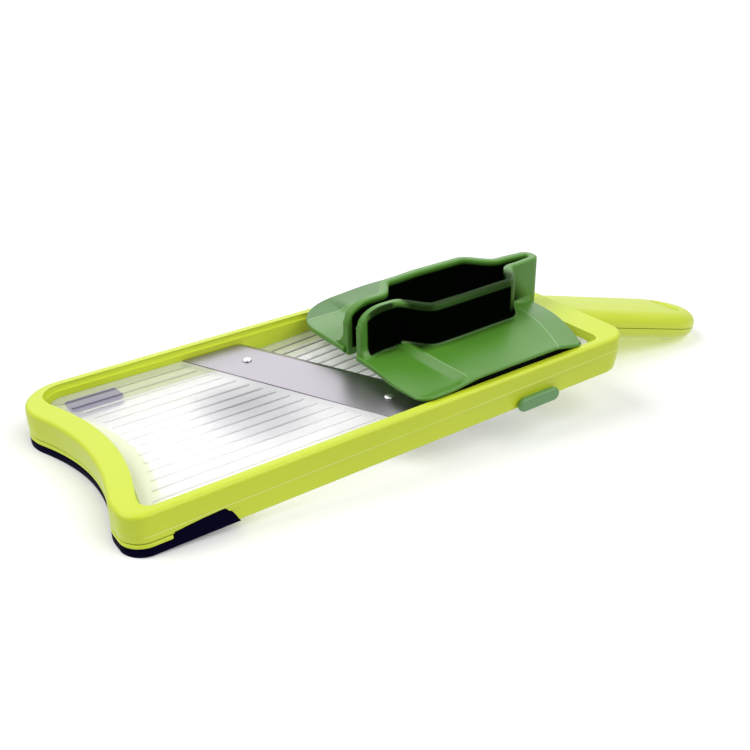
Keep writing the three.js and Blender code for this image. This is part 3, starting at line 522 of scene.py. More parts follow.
def painted_wall_shade(x, y, z):
    """How strongly painted shade turns the chute near black: its wall behind the lip, between the
    plate and the bead round the top, and the plate's corner beside the near wall. On the tail's
    outside the painted shade lies only at its foot."""
    from_middle = (y - CHUTE_MIDDLE).size()
    run = ((LIP_END - x) / LIP_RUN).held()
    rim = (1.0 - run * run) ** 0.5 * LIP_RISE + LIP_LOW
    behind_lip = (x - 1.2 * from_middle.eased(5.0, 6.5)).eased(131.4, 132.6)
    over_plate = (z - 3.2 - 2.5 * x.eased(146.5, 150.5)).eased(0.0, 0.8)
    under_rim = (rim - z).eased(0.7, 2.9)
    far_limit = x.eased(146.0, 152.0) * 9.0 + 10.5
    within = from_middle.eased(24.5, 22.5) * (y - far_limit).eased(1.5, 0.0)
    out = y * -1.0
    near_wall = NEAR_OUTSIDE - ((x - CLOSING_X) * CLOSING_SLOPE).most(0.0).least(CLOSING_DRAW)
    tail = (out - near_wall).eased(0.2, 0.8).most(x.eased(234.0, 235.0)) * x.eased(204.0, 205.5)
    lit_tail = ((z - 8.5) / 13.0 + (x - 218.0).most(0.0) / 11.0).held() * tail
    wall = behind_lip * over_plate * under_rim * within * (1.0 - lit_tail)
    behind_step = (out - near_wall - 1.6).most(0.0).fade(6.0) * x.eased(150.0, 153.0)
    behind_step = behind_step * (216.0 - x).eased(0.0, 8.0)
    before_step = (out - 8.4).most(0.0).fade(5.0) * x.eased(132.0, 136.0)
    before_step = before_step * (149.0 - x).eased(0.0, 3.0)
    return wall.most(behind_step.most(before_step) * out.eased(7.0, 8.0) * 0.85)


def chute_green():
    """The holder's green, with painted highlights as pale lines, painted shade on the far flank, and
    painted shade that mixes its chute's wall to near black.
    """
    made = Material("holder_plastic")
    base = made.cloudy(DEEP_GREEN, GREEN)
    x, y, z = made.level()
    # Painted shade on the far flank beyond its edge.
    base = made.mix(y.eased(FLANK_Y - 0.7, FLANK_Y + 0.7) * 0.45, base, FLANK_SHADE)
    made.feed("Base Color", made.mix(plate_highlights(x, y, z) * 0.45, base, CREST_HIGHLIGHT))
    made.skin(0.34)
    # The painted shade: a near black matte surface mixed in over the chute's wall.
    black = made.add("ShaderNodeBsdfDiffuse", {}, {"Color": WALL_SHADE_BLACK})
    plastic = Value(made, made.shader.outputs[0])
    inputs = {0: painted_wall_shade(x, y, z), 1: plastic, 2: black}
    both = made.add("ShaderNodeMixShader", {}, inputs)
    made.tree.links.new(both.socket, made.found("OUTPUT_MATERIAL").inputs["Surface"])
    return made.material


CLEAR, CLEAR_ALPHA = (0.95, 0.94, 0.96), 0.42
# Painted reflection: a dim patch on the clear plate before the blade.
PAINTED_REFLECTION_GREY = (0.33, 0.33, 0.36, 1)
# Painted shade along the far edge, where the lime below shows through darkened.
OLIVE_EDGE_SHADE = (0.42, 0.47, 0.20, 1)
TAB_NAVY = (0.17, 0.14, 0.27, 1)
# Painted shade on the sides of the ribs, where the clear plastic bends the light away.
RIB_SHADE = (0.10, 0.10, 0.13, 1)
RIB_SOFT = 0.22
PATCH_X, PATCH_Y, PATCH_LONG, PATCH_WIDE = 78.0, -6.0, 27.0, 34.0
OLIVE_Y = 32.8
TINT_X, TINT_Y, TINT_LONG, TINT_WIDE, TINT_ROUND = 28.0, 39.4, 8.4, 2.6, 3.4


def clear_plastic(name, rib_shade_strength, rib_low):
    """Polished clear plastic that lets about half through, with faint flow marks, painted shade as
    the dark lines along the sides of its ribs, a painted reflection as a grey patch before the
    blade, painted shade as an olive edge on the far side, and the foot's tab that shows through the
    far front corner."""
    made = Material(name)
    base = made.cloudy([c * 0.95 for c in CLEAR], CLEAR, 22.0)
    x, y, z = made.level()
    # Painted shade along the sides of the ribs.
    lane = made.add("ShaderNodeMath", {"operation": "PINGPONG"}, {0: y, 1: RIB_PITCH / 2})
    side = (lane - RIB_HALF).size().fade(RIB_SOFT)
    reach = ((x - RIB_ARC_X) ** 2 + y * y) ** 0.5 - RIB_ARC
    ribs = side * reach.eased(-0.5, 0.5) * (z - rib_low).eased(0.0, 0.4) * rib_shade_strength
    streak = made.noise(1.0, 3.0, made.stretched((12, 60, 12), 0.0), 0.5)
    # The painted reflection patch, streaked.
    along, across = (x - PATCH_X) / PATCH_LONG, (y - PATCH_Y) / PATCH_WIDE
    grey = (1.0 - along**2 - across**2).most(0.0) * (streak * 0.9 + 0.4)
    shaded = made.mix((grey * 0.95).least(1.0), base, PAINTED_REFLECTION_GREY)
    # Painted shade along the far edge of the plate.
    beyond = y.eased(OLIVE_Y, OLIVE_Y + 0.6)
    past_x = ((x - TINT_X).size() - TINT_LONG).most(0.0)
    past_y = ((y - TINT_Y).size() - TINT_WIDE).most(0.0)
    tab = ((past_x**2 + past_y**2) ** 0.5).eased(TINT_ROUND, TINT_ROUND - 0.5)
    olive = made.mix(beyond * 0.6, shaded, OLIVE_EDGE_SHADE)
    tinted = made.mix(tab * 0.85, olive, TAB_NAVY)
    made.feed("Base Color", made.mix(ribs, tinted, RIB_SHADE))
    denser = ribs * 0.5 + grey * 0.5 + beyond * 0.15 + tab * 0.3
    made.feed("Alpha", (denser + CLEAR_ALPHA).least(0.95))
    made.feed("Roughness", made.noise(40.0, 2.0) * 0.1 + 0.1)
    return made.material


clear = clear_plastic("clear_plastic", 0.26, LEDGE_TOP)
clear_rear = clear_plastic("clear_ramp_plastic", 0.75, -40.0)


def ground_steel(name, colour, roughness, scale, turn=0.0):
    """Ground steel: fine scratches drawn out one way, in the colour, the roughness and the bump."""
    made = Material(name, Metallic=1.0)
    lines = made.noise(1.0, 4.0, made.stretched(scale, turn), 0.6)
    made.feed("Base Color", made.mix(lines, (*[c * 0.86 for c in colour], 1), (*colour, 1)))
    made.feed("Roughness", lines * 0.22 + (roughness - 0.1))
    made.bump(lines, 0.2, 0.00003)
    return made.material


blade_steel = ground_steel("blade_steel", (0.41, 0.385, 0.425), 0.34, (60, 1800, 60), SLANT)
rivet_steel = ground_steel("rivet_steel", (0.90, 0.89, 0.91), 0.3, (300, 300, 300))
screw_steel = ground_steel("screw_steel", (0.52, 0.52, 0.54), 0.35, (300, 300, 300))

node_materials = {
    "front_table": clear,
    "ramp": clear_rear,
    "blade": blade_steel,
    "thickness_yoke": white_plastic,
    "runner_near": dark_plastic,
    "runner_far": dark_plastic,
    "front_foot": rubber,
    "front_band": lime,
    "upper_frame": lime,
    "handle_upper": lime,
    "handle_lower": lime,
    "holder": green,
    "thickness_button": green,
}
for name in ("front_table", "ramp"):
    nodes[name].visible_shadow = False
for name, node in nodes.items():
    node.data.materials.clear()
    node.data.materials.append(node_materials.get(name, screw_steel))


# Frame


def front_edge(x):
    """Upper edge of the foot and the band in the side view, as height over length."""
    return np.interp(x, *zip(*FRONT_EDGE))


def behind_foot(outline, deeper, z):
    """An outline drawn in to a deeper one where the foot and the band cover it."""
    share = smooth_step((front_edge(outline[:, 0]) - 0.1 - z) / 0.5)
    return outline + (deeper - outline) * share[:, None]


def bulge(z):
    """How far the rear corners swell past the rim, and draw in again towards the bottom."""
    if z > -BULGE_DEPTH:
        return BULGE * max(-z - 1.0, 0) / (BULGE_DEPTH - 1.0)
    return BULGE - BULGE_DRAW * ((-z - BULGE_DEPTH) / (HEIGHT - BULGE_DEPTH)) ** 1.6


def frame_rows():
    """Outlines from the inner foot of the shell, round its outside and over the rim, down the step
    and the inner wall, round the ledge and back under the rails."""
    rows = [(outer(SHELL), -RAIL_DEPTH), (outer(SHELL), -HEIGHT + 0.3)]
    rows += [(outer(SHELL - 0.3), -HEIGHT), (outer(1.5, -2.0, 1.5), -HEIGHT)]
    for a, b in fillet(LOW_EDGE, 90, 0, 5):
        rows.append((outer(1.5 - a, -1.9, 1.5), LOW_EDGE - b - HEIGHT))
    for z in np.arange(-16.0, -8.1, 0.42):
        wall = outer(0.22 if z < -9 else 0.14, bulge(z), REAR_SOFT)
        rows.append((behind_foot(wall, outer(FOOT_COVER, bulge(z), REAR_SOFT), z), z))
    rows += [(outer(0.08, bulge(z), REAR_SOFT), z) for z in (-7.95, -7.75)]
    rows += [(outer(-0.05, bulge(z), REAR_SOFT), z) for z in (-7.6, -7.45)]
    rows += [(outer(0.0, bulge(z), REAR_SOFT), z) for z in (-7.2, -6.0, -4.5, -3.0, -2.2)]
    for a, b in fillet(RIM_EDGE, 12, 90, 8):
        rows.append((outer(RIM_EDGE - a, 0.3, 1.8), b - RIM_EDGE))
    rows += [(outer(2.1, 0, 1.5), 0.0)]
    rows += [(opening(-0.9), 0.0)]
    rows += [(opening(-a), b - INNER_EDGE) for a, b in fillet(INNER_EDGE, 90, 0, 4)]
    step = [(0, 0.25), (0.1, 0.08), (0.3, 0), (1.6, 0), (1.75, -0.06), (RAIL_IN, -0.3)]
    rows += [(opening(side), rise - STEP_DROP) for side, rise in step]
    rows += [(opening(RAIL_IN), -5.0), (opening(RAIL_IN), LEDGE_TOP)]
    return rows


def ledge(inset_side, inset_front):
    """The inner wall's outline with the ledge that carries the front table, which ends behind it."""
    o = opening(RAIL_IN)
    x, y = o[:, 0], o[:, 1]
    end = BLADE_FRONT + TABLE_END / math.cos(SLANT) - np.tan(SLANT) * y
    size = FRONT_BEZEL + inset_front, REAR_INNER, RAIL_INNER - inset_side
    inner = ring(*size, INNER_NEAR_RADIUS, INNER_FAR_RADIUS, 5.0, INNER_NOTCH, INNER_NOTCH_HALF)
    share = 1 - smooth_step((x - end + LEDGE_FADE) / LEDGE_FADE)
    return o + (inner - o) * share[:, None]


shelf = ledge(LEDGE_SIDE, LEDGE_FRONT)
under = [(shelf, LEDGE_TOP), (shelf, -RAIL_DEPTH), (outer(SHELL + 0.6), -RAIL_DEPTH)]
body = level_rows(frame_rows() + under)
make_piece("frame_ring", [body], frame_lime(), "frame", ["upper_frame"], 32)


def round_front(inset, fine):
    """Path along the frame's outline at an inset, from the near side round the hollowed front to the
    far side. The lengths on the sides are given by fine, which falls to the corner."""
    half = HALF - inset
    near_r, far_r = NEAR_RADIUS - inset, FAR_RADIUS - inset
    q = math.pi / 2
    near_side = np.array([x for x in fine if x > inset + near_r])
    far_side = np.array([x for x in fine[::-1] if x > inset + far_r])
    near = along_x(near_side, -half)[0]
    near_corner = arc(inset + near_r, near_r - half, near_r, -q, -math.pi, 24)
    y = np.linspace(near_r - half, half - far_r, 90)[1:-1]
    middle = np.stack([inset + (NOTCH + 0.8 * NOTCH_LEAN) * hollow(y), y], -1)
    far_corner = arc(inset + far_r, half - far_r, far_r, math.pi, q, 24)
    far = along_x(far_side, half)[0]
    path = np.concatenate([near, near_corner, middle, far_corner, far])
    return path, side_normals(path)


side_steps = np.concatenate([
    np.linspace(FLARE_END, 36, 34),
    np.arange(35.4, 17.4, -0.7),
    np.linspace(17.2, 9.4, 40),
])
path, normals = round_front(FOOT_HALF, side_steps)
top = np.where(path[:, 0] > 16.55, front_edge(path[:, 0]), FOOT_TOP)
low = np.full(len(path), FOOT_BOTTOM)
foot = slab(path, normals, low, np.maximum(top, low + 0.05), FOOT_HALF, 1.1, low_edge=True)
xs, tall = round_bar(TAB_X, BAR_HALF, 1.2, 1.0, 41, 0.003)
tabs = [
    slab(*along_x(xs, side * TAB_Y), TAB_Z - tall, TAB_Z + tall, 3.6, 0.6, low_edge=True)
    for side in (-1, 1)
]
make_piece("foot_rubber_lip", [foot, *tabs], rubber, "frame", ["front_foot"], 50)

past = np.maximum(path[:, 0] - BAND_END + BAND_RISE, 0)
rise = np.sqrt(np.maximum(BAND_RISE**2 - past**2, 0.0004))
keep = path[:, 0] <= BAND_END
path, normals, rise = path[keep], normals[keep], rise[keep]
band = slab(path, normals, BAND_Z - rise, BAND_Z + rise, FOOT_HALF, 0.7, low_edge=True)
make_piece("front_lip_band", [band], lime, "frame", ["front_band"], 50)


# Handle

HANDLE_HALF = 19.0
HANDLE_ROOT = 17.5
HANDLE_TIP = 30.0
HANDLE_START = -1.4
SHELL_EDGE, SHELL_CROWN = 0.18, 0.05
SLOT_AT = 100.5
SLOT_HALF = 8.75
SLOT_WIDE = 3.1
SLOT_FLARE = 0.8
SHELL_RISE = 7.6


def on_handle(along, across, rise):
    """Points along, across and square to the handle's parting plane, as level points."""
    c, s = math.cos(HANDLE_ANGLE), math.sin(HANDLE_ANGLE)
    up = -HANDLE_DROP - along * s + rise * c
    return np.stack([LENGTH + along * c + rise * s, across, up], -1)


def handle_edge(inset):
    """Near half of the handle's outline from its root to its tip: a straight side, then a quarter
    ellipse."""
    middle = HANDLE_LENGTH - HANDLE_TIP
    side = np.linspace(HANDLE_START, middle, 30)[:-1]
    run = (side - HANDLE_START) / (middle - HANDLE_START)
    half = HANDLE_ROOT + (HANDLE_HALF - HANDLE_ROOT) * run
    a = np.linspace(-math.pi / 2, 0, 41)
    long, wide = HANDLE_TIP - inset, HANDLE_HALF - inset
    tip = np.stack([middle + long * np.cos(a), wide * np.sin(a)], -1)
    return np.concatenate([np.stack([side, inset - half], -1), tip])


def handle_shell(side, at_frame, at_tip, shoulder):
    """Upper (1) or lower (-1) half of the handle: its height over the parting plane rises on a
    quarter ellipse from the outline inwards, then on a low crown to the middle."""
    turn = np.radians(np.linspace(0, 90, 15))
    columns, heights = [], []
    for a in turn:
        edge = handle_edge(shoulder * (1 - math.cos(a)))
        columns.append(edge)
        heights.append(SHELL_EDGE + (1 - SHELL_EDGE) * math.sin(a))
    flat = columns[-1]
    for share in (0.25, 0.5, 0.75, 1.0):
        columns.append(np.stack([flat[:, 0], flat[:, 1] * (1 - share)], -1))
        heights.append(1 + SHELL_CROWN * (1 - (1 - share) ** 2))
    plan = np.stack(columns, 1)
    full = at_frame + (at_tip - at_frame) * plan[..., 0] / HANDLE_LENGTH
    rise = np.array(heights)[None, :] * full
    mirrored = plan[:, -2::-1] * np.array([1, -1])
    plan = np.concatenate([plan, mirrored], 1)
    rise = side * np.concatenate([rise, rise[:, -2::-1]], 1)
    parting = np.full(rise.shape, side * 0.2)
    skin = on_handle(plan[..., 0], plan[..., 1], rise)
    base = on_handle(plan[..., 0], plan[..., 1], parting)
    floor = (-SHIFT[2] - skin[..., 0] * math.sin(LEAN)) / math.cos(LEAN)
    skin[..., 2] = np.maximum(skin[..., 2], floor)
    return sheet(skin, base)


def slot_cutter():
    """A long round-ended hole through the handle, which flares where it meets the surfaces."""
    a = np.concatenate([np.linspace(0, math.pi, 17), np.linspace(math.pi, 2 * math.pi, 17)])
    shift = np.repeat([SLOT_HALF - SLOT_WIDE, SLOT_WIDE - SLOT_HALF], 17)
    rows = []
    upwards = np.linspace(5.2, 14, 12)
    for rise in np.concatenate([-upwards[::-1], upwards]):
        grow = SLOT_FLARE * min(abs(rise) / SHELL_RISE, 1.6) ** 9
        along = SLOT_AT + (SLOT_WIDE + grow) * np.cos(a)
        across = shift + (SLOT_WIDE + grow) * np.sin(a)
        rows.append(on_handle(along, across, np.full(len(a), rise)))
    grid = np.stack(rows)
    n = grid.shape[1]
    faces = grid_faces(*grid.shape[:2], wrap_columns=True).tolist()
    faces += [list(range(n - 1, -1, -1)), [grid.shape[0] * n - n + i for i in range(n)]]
    return grid, faces


def cut(piece, grid, faces):
    """Takes a closed shape away from a piece, once and for all."""
    mesh = bpy.data.meshes.new("cutter")
    mesh.from_pydata(stood(grid.reshape(-1, 3)).tolist(), [], faces)
    tool = bpy.data.objects.new("cutter", mesh)
    bpy.context.scene.collection.objects.link(tool)
    fix_normals(mesh)
    modifier = piece.modifiers.new("cut", "BOOLEAN")
    modifier.operation, modifier.object, modifier.solver = "DIFFERENCE", tool, "EXACT"
    bpy.context.view_layer.update()
    after = piece.evaluated_get(bpy.context.evaluated_depsgraph_get())
    done = bpy.data.meshes.new_from_object(after)
    piece.modifiers.clear()
    piece.data = done
    bpy.data.objects.remove(tool)


def fix_normals(mesh):
    """Merges points that coincide and turns all faces outwards."""
    made = bmesh.new()
    made.from_mesh(mesh)
    bmesh.ops.remove_doubles(made, verts=made.verts, dist=1e-7)
    bmesh.ops.recalc_face_normals(made, faces=made.faces)
    made.to_mesh(mesh)
    made.free()


top_shell = handle_shell(1, at_frame=7.7, at_tip=7.6, shoulder=9.0)
bottom_shell = handle_shell(-1, at_frame=8.0, at_tip=6.8, shoulder=6.5)
for name, shell, hidden in (
    ("handle_top_shell", top_shell, ["handle_upper"]),
    ("handle_bottom_shell", bottom_shell, ["handle_lower"]),
):
    hole = slot_cutter()
    make_piece(name, [shell], lime, "frame", hidden, weld=True, cutter=hole)


# Holder

LIP_NEAR, LIP_FAR = 6.4, 3.4
CHUTE_WIDE_NEAR, CHUTE_WIDE_FAR = 19.8, 16.1
CHUTE_TAIL = 3.6
CHUTE_TAIL_X = 232.0
TAIL_SHIFT, TAIL_SPREAD = -0.8, 1.1
WIDENING_X, WIDENING_RUN, CLOSING_RUN = 147.5, 15.0, 16.5
WALL_HALF = 2.1
RECESS = 2.6
FILLET, LIP_FILLET_NEAR, LIP_FILLET_FAR = 2.2, 2.2, 6.0
WALL_FLOOR, PLATE_FLOOR, STRIP_FLOOR = 0.35, 0.32, 0.12
GRIP_RADIUS, GRIP_RISE = 0.5, 0.3
GRIP_LENGTHS, GRIP_HEIGHTS = (138.5, 142.7, 146.9), (9.4, 13.4, 17.2)
STRIP_Y = 52.2
STRIP_NEAR_X, STRIP_FAR_X, STRIP_END = 133.5, 149.0, 227.0
PLATE_CROWN, PLATE_SIDE = 5.8, 4.0
PLATE_FAR, PLATE_FAR_DROP = 5.6, 1.7
STEP_X, STEP_RUN = 146.4, 3.9
STEP_FAR, STEP_NEAR = 3.6, 6.0
RECESS_FADE = 0.6
PLATE_HALF, PLATE_THINNING = 1.25, 0.45
PLATE_EDGE = 0.75
SWELL_Y, SWELL_WIDE = 35, 13
NEAR_SWELL, FAR_SWELL = 1.6, -0.8
REAR_SLOPE = 0.17


def smoother(t):
    """6t⁵ - 15t⁴ + 10t³ of t held between 0 and 1."""
    t = np.clip(t, 0, 1)
    return t**3 * (t * (6 * t - 15) + 10)


def chute_half(x, side):
    """Half width of the chute's centre line: narrow, then wide, then narrow at the tail."""
    lip, wide = (LIP_FAR, CHUTE_WIDE_FAR) if side > 0 else (LIP_NEAR, CHUTE_WIDE_NEAR)
    tail = CHUTE_TAIL + side * TAIL_SHIFT
    taper = 0.9 * smooth_step((x - 165) / 40) if side < 0 else 1.4 * smooth_step((180 - x) / 18)
    wide = wide - taper
    widened = lip + (wide - lip) * smoother((x - WIDENING_X) / WIDENING_RUN)
    tail = tail + TAIL_SPREAD * smooth_step((234 - x) / 14)
    return widened + (tail - wide) * smoother((x - CLOSING_X) / CLOSING_RUN)


def bow(y):
    """How far the holder's rear lines draw forward at a distance from the middle."""
    return BOW * np.abs(y / HOLDER_HALF) ** BOW_POWER


def plate_top(x, y):
    """Top of the holder's plate: a low crown, a recess across its front with a straight step, a
    flank up to the far edge, and a fall behind the rear crease."""
    a = np.abs(y)
    far = smooth_step((y + 10) / 20)
    far_side = PLATE_FAR - PLATE_FAR_DROP * smooth_step((180 - x) / 32)
    side_height = far_side * far + PLATE_SIDE * (1 - far)
    crown = PLATE_CROWN + (side_height - PLATE_CROWN) * smooth_step((a - 20) / 33.6)
    near_edge = smooth_step((a - 48.5) / 5) * (1 - far)
    start = STEP_X + STEP_FAR * far - STEP_NEAR * near_edge + STEP_BOW * (y / HOLDER_HALF) ** 2
    lane = (x - start) / (STEP_RUN + 9 * near_edge)
    blur = 0.0006 + 0.05 * near_edge
    rise = np.clip(soft_part(lane, blur) - soft_part(lane - 1, blur), 0, 1)
    flank = soft_part((a - 39.5) / 14.1, 0.0004) * far
    depth = RECESS - RECESS_FADE * near_edge - RECESS_FADE * far
    drop = depth * (1 - rise) * (1 - np.clip(flank, 0, 1))
    behind = soft_part(x - (CREASE_X - bow(y)), 0.02)
    slope = REAR_SLOPE + 0.04 * (a / HOLDER_HALF) ** 2
    return crown - drop - behind * slope


# Lengths behind the plate's front edge, and shares of its half width, closest at edges and creases
PLATE_RUNS = np.concatenate([
    [0, 0.02, 0.08, 0.18, 0.32, 0.5, 0.72, 1.0, 1.4, 1.9, 2.5, 3.2, 4.0, 5.0, 6.0],
    np.arange(7.2, 16.5, 1.2),
    np.arange(17.0, 26.5, 0.35),
    np.arange(27.5, 74, 2.5),
    np.arange(74.5, 92, 0.8),
    103 - np.array([10, 8.5, 7, 5.5, 4.2, 3.2, 2.4, 1.8, 1.3, 0.9, 0.6, 0.35, 0.18, 0.07, 0]),
])
PLATE_SHARES = np.concatenate([
    [0, 0.02, 0.05],
    np.linspace(0.1, 0.85, 22),
    1 - np.array([0.12, 0.095, 0.075, 0.058, 0.044, 0.032, 0.022, 0.014, 0.008, 0.0035, 0.001, 0]),
])


def plate_half(side):
    """Near (-1) or far (1) half of the holder's plate, from the chute's centre line outwards."""
    xs = HOLDER_FRONT + PLATE_RUNS
    t = PLATE_SHARES
    radius = FAR_CORNER if side > 0 else NEAR_CORNER
    reach = radius - PLATE_RUNS
    corner = HOLDER_HALF - radius + np.sqrt(np.maximum(radius**2 - np.maximum(reach, 0) ** 2, 0))
    out = np.where(reach > 0, corner, HOLDER_HALF)
    out = out - np.maximum(xs - (HOLDER_REAR - 2.0), 0)
    inner = chute_half(xs, side)
    inner = np.where(xs > CHUTE_TAIL_X - 1, 0.2, inner)
    y = inner[:, None] + (out - inner)[:, None] * t
    x = np.broadcast_to(xs[:, None], y.shape)
    front, rear = (
        np.stack([np.full(40, end), np.linspace(inner[row], out[row], 40)], -1)
        for row, end in ((0, HOLDER_FRONT), (-1, HOLDER_REAR))
    )
    border = np.concatenate([front, np.stack([xs, out], -1), rear])
    d = edge_distance(np.stack([x.ravel(), y.ravel()], -1), border).reshape(y.shape)
    y = y * side
    moved = x - bow(y) * smooth_step((x - BOW_START) / BOW_RUN)
    from_swell = (np.abs(y) - SWELL_Y) / SWELL_WIDE
    swell = (NEAR_SWELL if side < 0 else FAR_SWELL) * np.exp(-(from_swell**2))
    moved = moved - swell * smooth_step((140 - x) / 11)
    thick = PLATE_HALF - PLATE_THINNING * smooth_step((np.abs(y) - 20) / 33)
    round_edge = np.sqrt(PLATE_EDGE**2 - np.maximum(PLATE_EDGE - d, 0) ** 2)
    half = thick - PLATE_EDGE + round_edge
    middle = plate_top(moved, y) - thick
    low = np.maximum(middle - half, PLATE_FLOOR)
    top = np.maximum(middle + half, low + 0.2)
    return sheet(np.stack([moved, y, top], -1), np.stack([moved, y, low], -1))


def chute_path():
    """Centre line of the chute's wall, from its near front round the tail to its far front."""
    steps = CHUTE_FRONT - 0.6 + 13.5 * np.linspace(0, 1, 20) ** 2
    steps = np.concatenate([steps, np.arange(144.4, CHUTE_TAIL_X, 1.0)])
    tail = arc(CHUTE_TAIL_X, TAIL_SHIFT, CHUTE_TAIL, -math.pi / 2, math.pi / 2, 25)[1:-1]
    near = np.stack([steps, -chute_half(steps, -1)], -1)
    far = np.stack([steps, chute_half(steps, 1)], -1)
    path = np.concatenate([near, tail, far[::-1]])
    return path, side_normals(path, -1.0)


def foot_fillet(x, y, z):
    """How far the wall's outer side swells where it meets the plate, most at the front lips."""
    at_lip = np.where(y > 0, LIP_FILLET_FAR, LIP_FILLET_NEAR)
    radius = FILLET + at_lip * smooth_step((142 - x) / 10)
    over = np.clip(z - plate_top(x, y) + 0.1, 0, radius)
    swell = radius - np.sqrt(np.maximum(radius**2 - (radius - over) ** 2, 0))
    over_plate = smooth_step((plate_top(x, y) - 1.2 - z) / -0.4)
    before_tail = smooth_step((CHUTE_TAIL_X - 1 - x) / 3)
    return swell * (over_plate * before_tail)


def chute_wall():
    """The upright wall round the chute, whose top rises on a quarter ellipse behind the lips."""
    path, normals = chute_path()
    run = np.maximum(LIP_END - path[:, 0], 0) / LIP_RUN
    top = LIP_LOW + LIP_RISE * np.sqrt(np.maximum(1 - run**2, 0))
    low = np.full(len(path), WALL_FLOOR)
    return slab(path, normals, low, top, WALL_HALF, 0.95, foot_fillet)


def grips():
    """Nine low round grips in rows of three on the near side of the chute."""
    parts = []
    around = np.linspace(0, 2 * math.pi, 12, endpoint=False)
    turn, lift = np.meshgrid(around, np.linspace(-1.5, 1.5, 7))
    wide, high = GRIP_RADIUS * np.cos(lift), GRIP_RISE * np.sin(lift)
    for x in GRIP_LENGTHS:
        y = -chute_half(x, -1) - WALL_HALF
        for z in GRIP_HEIGHTS:
            points = np.stack([x + wide * np.cos(turn), y - high, z + wide * np.sin(turn)], -1)
            parts.append(turned_out(points, grid_faces(7, 12, wrap_columns=True)))
    return parts


holder_parts = [plate_half(-1), plate_half(1), chute_wall()] + grips()
make_piece("food_holder", holder_parts, chute_green(), "holder", ["holder"], 42)


def gap_shade_strip(side):
    """Painted shade: a near black strip under the edge of the holder's plate, on top of the rim,
    standing in for the shade in the gap there.
    """
    xs = np.linspace(STRIP_NEAR_X if side < 0 else STRIP_FAR_X, STRIP_END, 60)
    moved = xs - bow(HOLDER_HALF) * smooth_step((xs - BOW_START) / BOW_RUN)
    path, normals = along_x(moved, side * STRIP_Y)
    top = plate_top(path[:, 0], path[:, 1]) - 1.5
    return slab(path, normals, np.full(len(xs), STRIP_FLOOR), np.maximum(top, 0.4), 0.9, 0.15)


# Painted shade in the gaps under both edges of the holder's plate.
strips = [gap_shade_strip(-1), gap_shade_strip(1)]
make_piece("gap_shade_strips", strips, gap_shade_plastic, "holder")


def rivet_dome(x, y):
    """Low round rivet head: a quarter ellipse turned round its axis, closed underneath."""
    around = np.linspace(0, 2 * math.pi, RIVET_TURNS, endpoint=False)
    turn, lift = np.meshgrid(around, np.linspace(0, 1, 9))
    wide = RIVET_HALF * np.cos(lift * math.pi / 2)
    rise = RIVET_SEAT + RIVET_RISE * np.sin(lift * math.pi / 2)
    skin = np.stack([x + wide * np.cos(turn), y + wide * np.sin(turn), rise], -1)
    seat = np.full(RIVET_TURNS, RIVET_SEAT - 0.03)
    under = np.stack([skin[0, :, 0], skin[0, :, 1], seat], -1)
    middle = np.stack([np.full(RIVET_TURNS, x), np.full(RIVET_TURNS, y), seat], -1)
    rows = np.stack([middle, under, *skin])
    return turned_out(rows, grid_faces(*rows.shape[:2], wrap_columns=True))


rivet_middle = BLADE_FRONT + BLADE_WIDTH / 2 / math.cos(SLANT)
heads = [rivet_dome(rivet_middle - y * math.tan(SLANT), y) for y in (-RIVET_ACROSS, RIVET_ACROSS)]
make_piece("rivet_heads", heads, rivet_steel, "frame")


# Button

BUTTON_X, BUTTON_Y, BUTTON_Z = 187.8, -58.65, -14.7
BUTTON_ROUND = 3.0
FACE_HALF, FACE_EDGE = 1.35, 1.0
NECK_Z, NECK_HALF = -13.8, 1.6
NECK_REACH, NECK_EDGE = 5.2, 0.2


def button():
    """A slab with round ends, and its neck through the frame's side."""
    xs, rise = round_bar(BUTTON_X, BAR_HALF, BUTTON_ROUND, BUTTON_ROUND, 49, 0.0004)
    face = along_x(xs, BUTTON_Y, -1.0)
    inside = xs[12:37]
    tall = np.full(len(inside), NECK_HALF)
    neck = along_x(inside, BUTTON_Y + 6.0, -1.0)
    return [
        slab(*face, BUTTON_Z - rise, BUTTON_Z + rise, FACE_HALF, FACE_EDGE, low_edge=True),
        slab(*neck, NECK_Z - tall, NECK_Z + tall, NECK_REACH, NECK_EDGE, low_edge=True),
    ]


hidden = ["thickness_button"]
make_piece("slider_button", button(), green, "thickness_slider", hidden, 50)


# Camera, light and floor

CAMERA_PLACE = np.array([-91.0437, -324.7605, 192.2711])
YAW, PITCH, ROLL = 0.946078297, 0.473660937, -0.0127876308
FOCAL_PIXELS, IMAGE_PIXELS = 1000.0, 750.0
SENSOR = 36.0


def camera_axes():
    """Right, up and back of the camera in level axes: yaw about Z, pitch down, then roll."""
    flat = np.array([math.cos(YAW), math.sin(YAW), 0.0])
    right = np.array([math.sin(YAW), -math.cos(YAW), 0.0])
    rise = np.array([0.0, 0.0, 1.0])
    forward = flat * math.cos(PITCH) - rise * math.sin(PITCH)
    above = flat * math.sin(PITCH) + rise * math.cos(PITCH)
    return np.stack([
        right * math.cos(ROLL) + above * math.sin(ROLL),
        -right * math.sin(ROLL) + above * math.cos(ROLL),
        -forward,
    ])


def add_camera():
    """The camera that matches the photograph, from level millimetres."""
    camera = bpy.data.objects.new("camera", bpy.data.cameras.new("camera"))
    bpy.context.scene.collection.objects.link(camera)
    camera.data.sensor_width = SENSOR
    camera.data.lens = SENSOR * FOCAL_PIXELS / IMAGE_PIXELS
    place = stood(CAMERA_PLACE)
    turned = stood(camera_axes()) - stood(np.zeros(3))
    axes = (turned / MM).T
    matrix = np.eye(4)
    matrix[:3, :3], matrix[:3, 3] = axes, place
    camera.matrix_world = Matrix(matrix.tolist())
    camera.data.clip_start, camera.data.clip_end = 0.01, 50
    bpy.context.scene.camera = camera


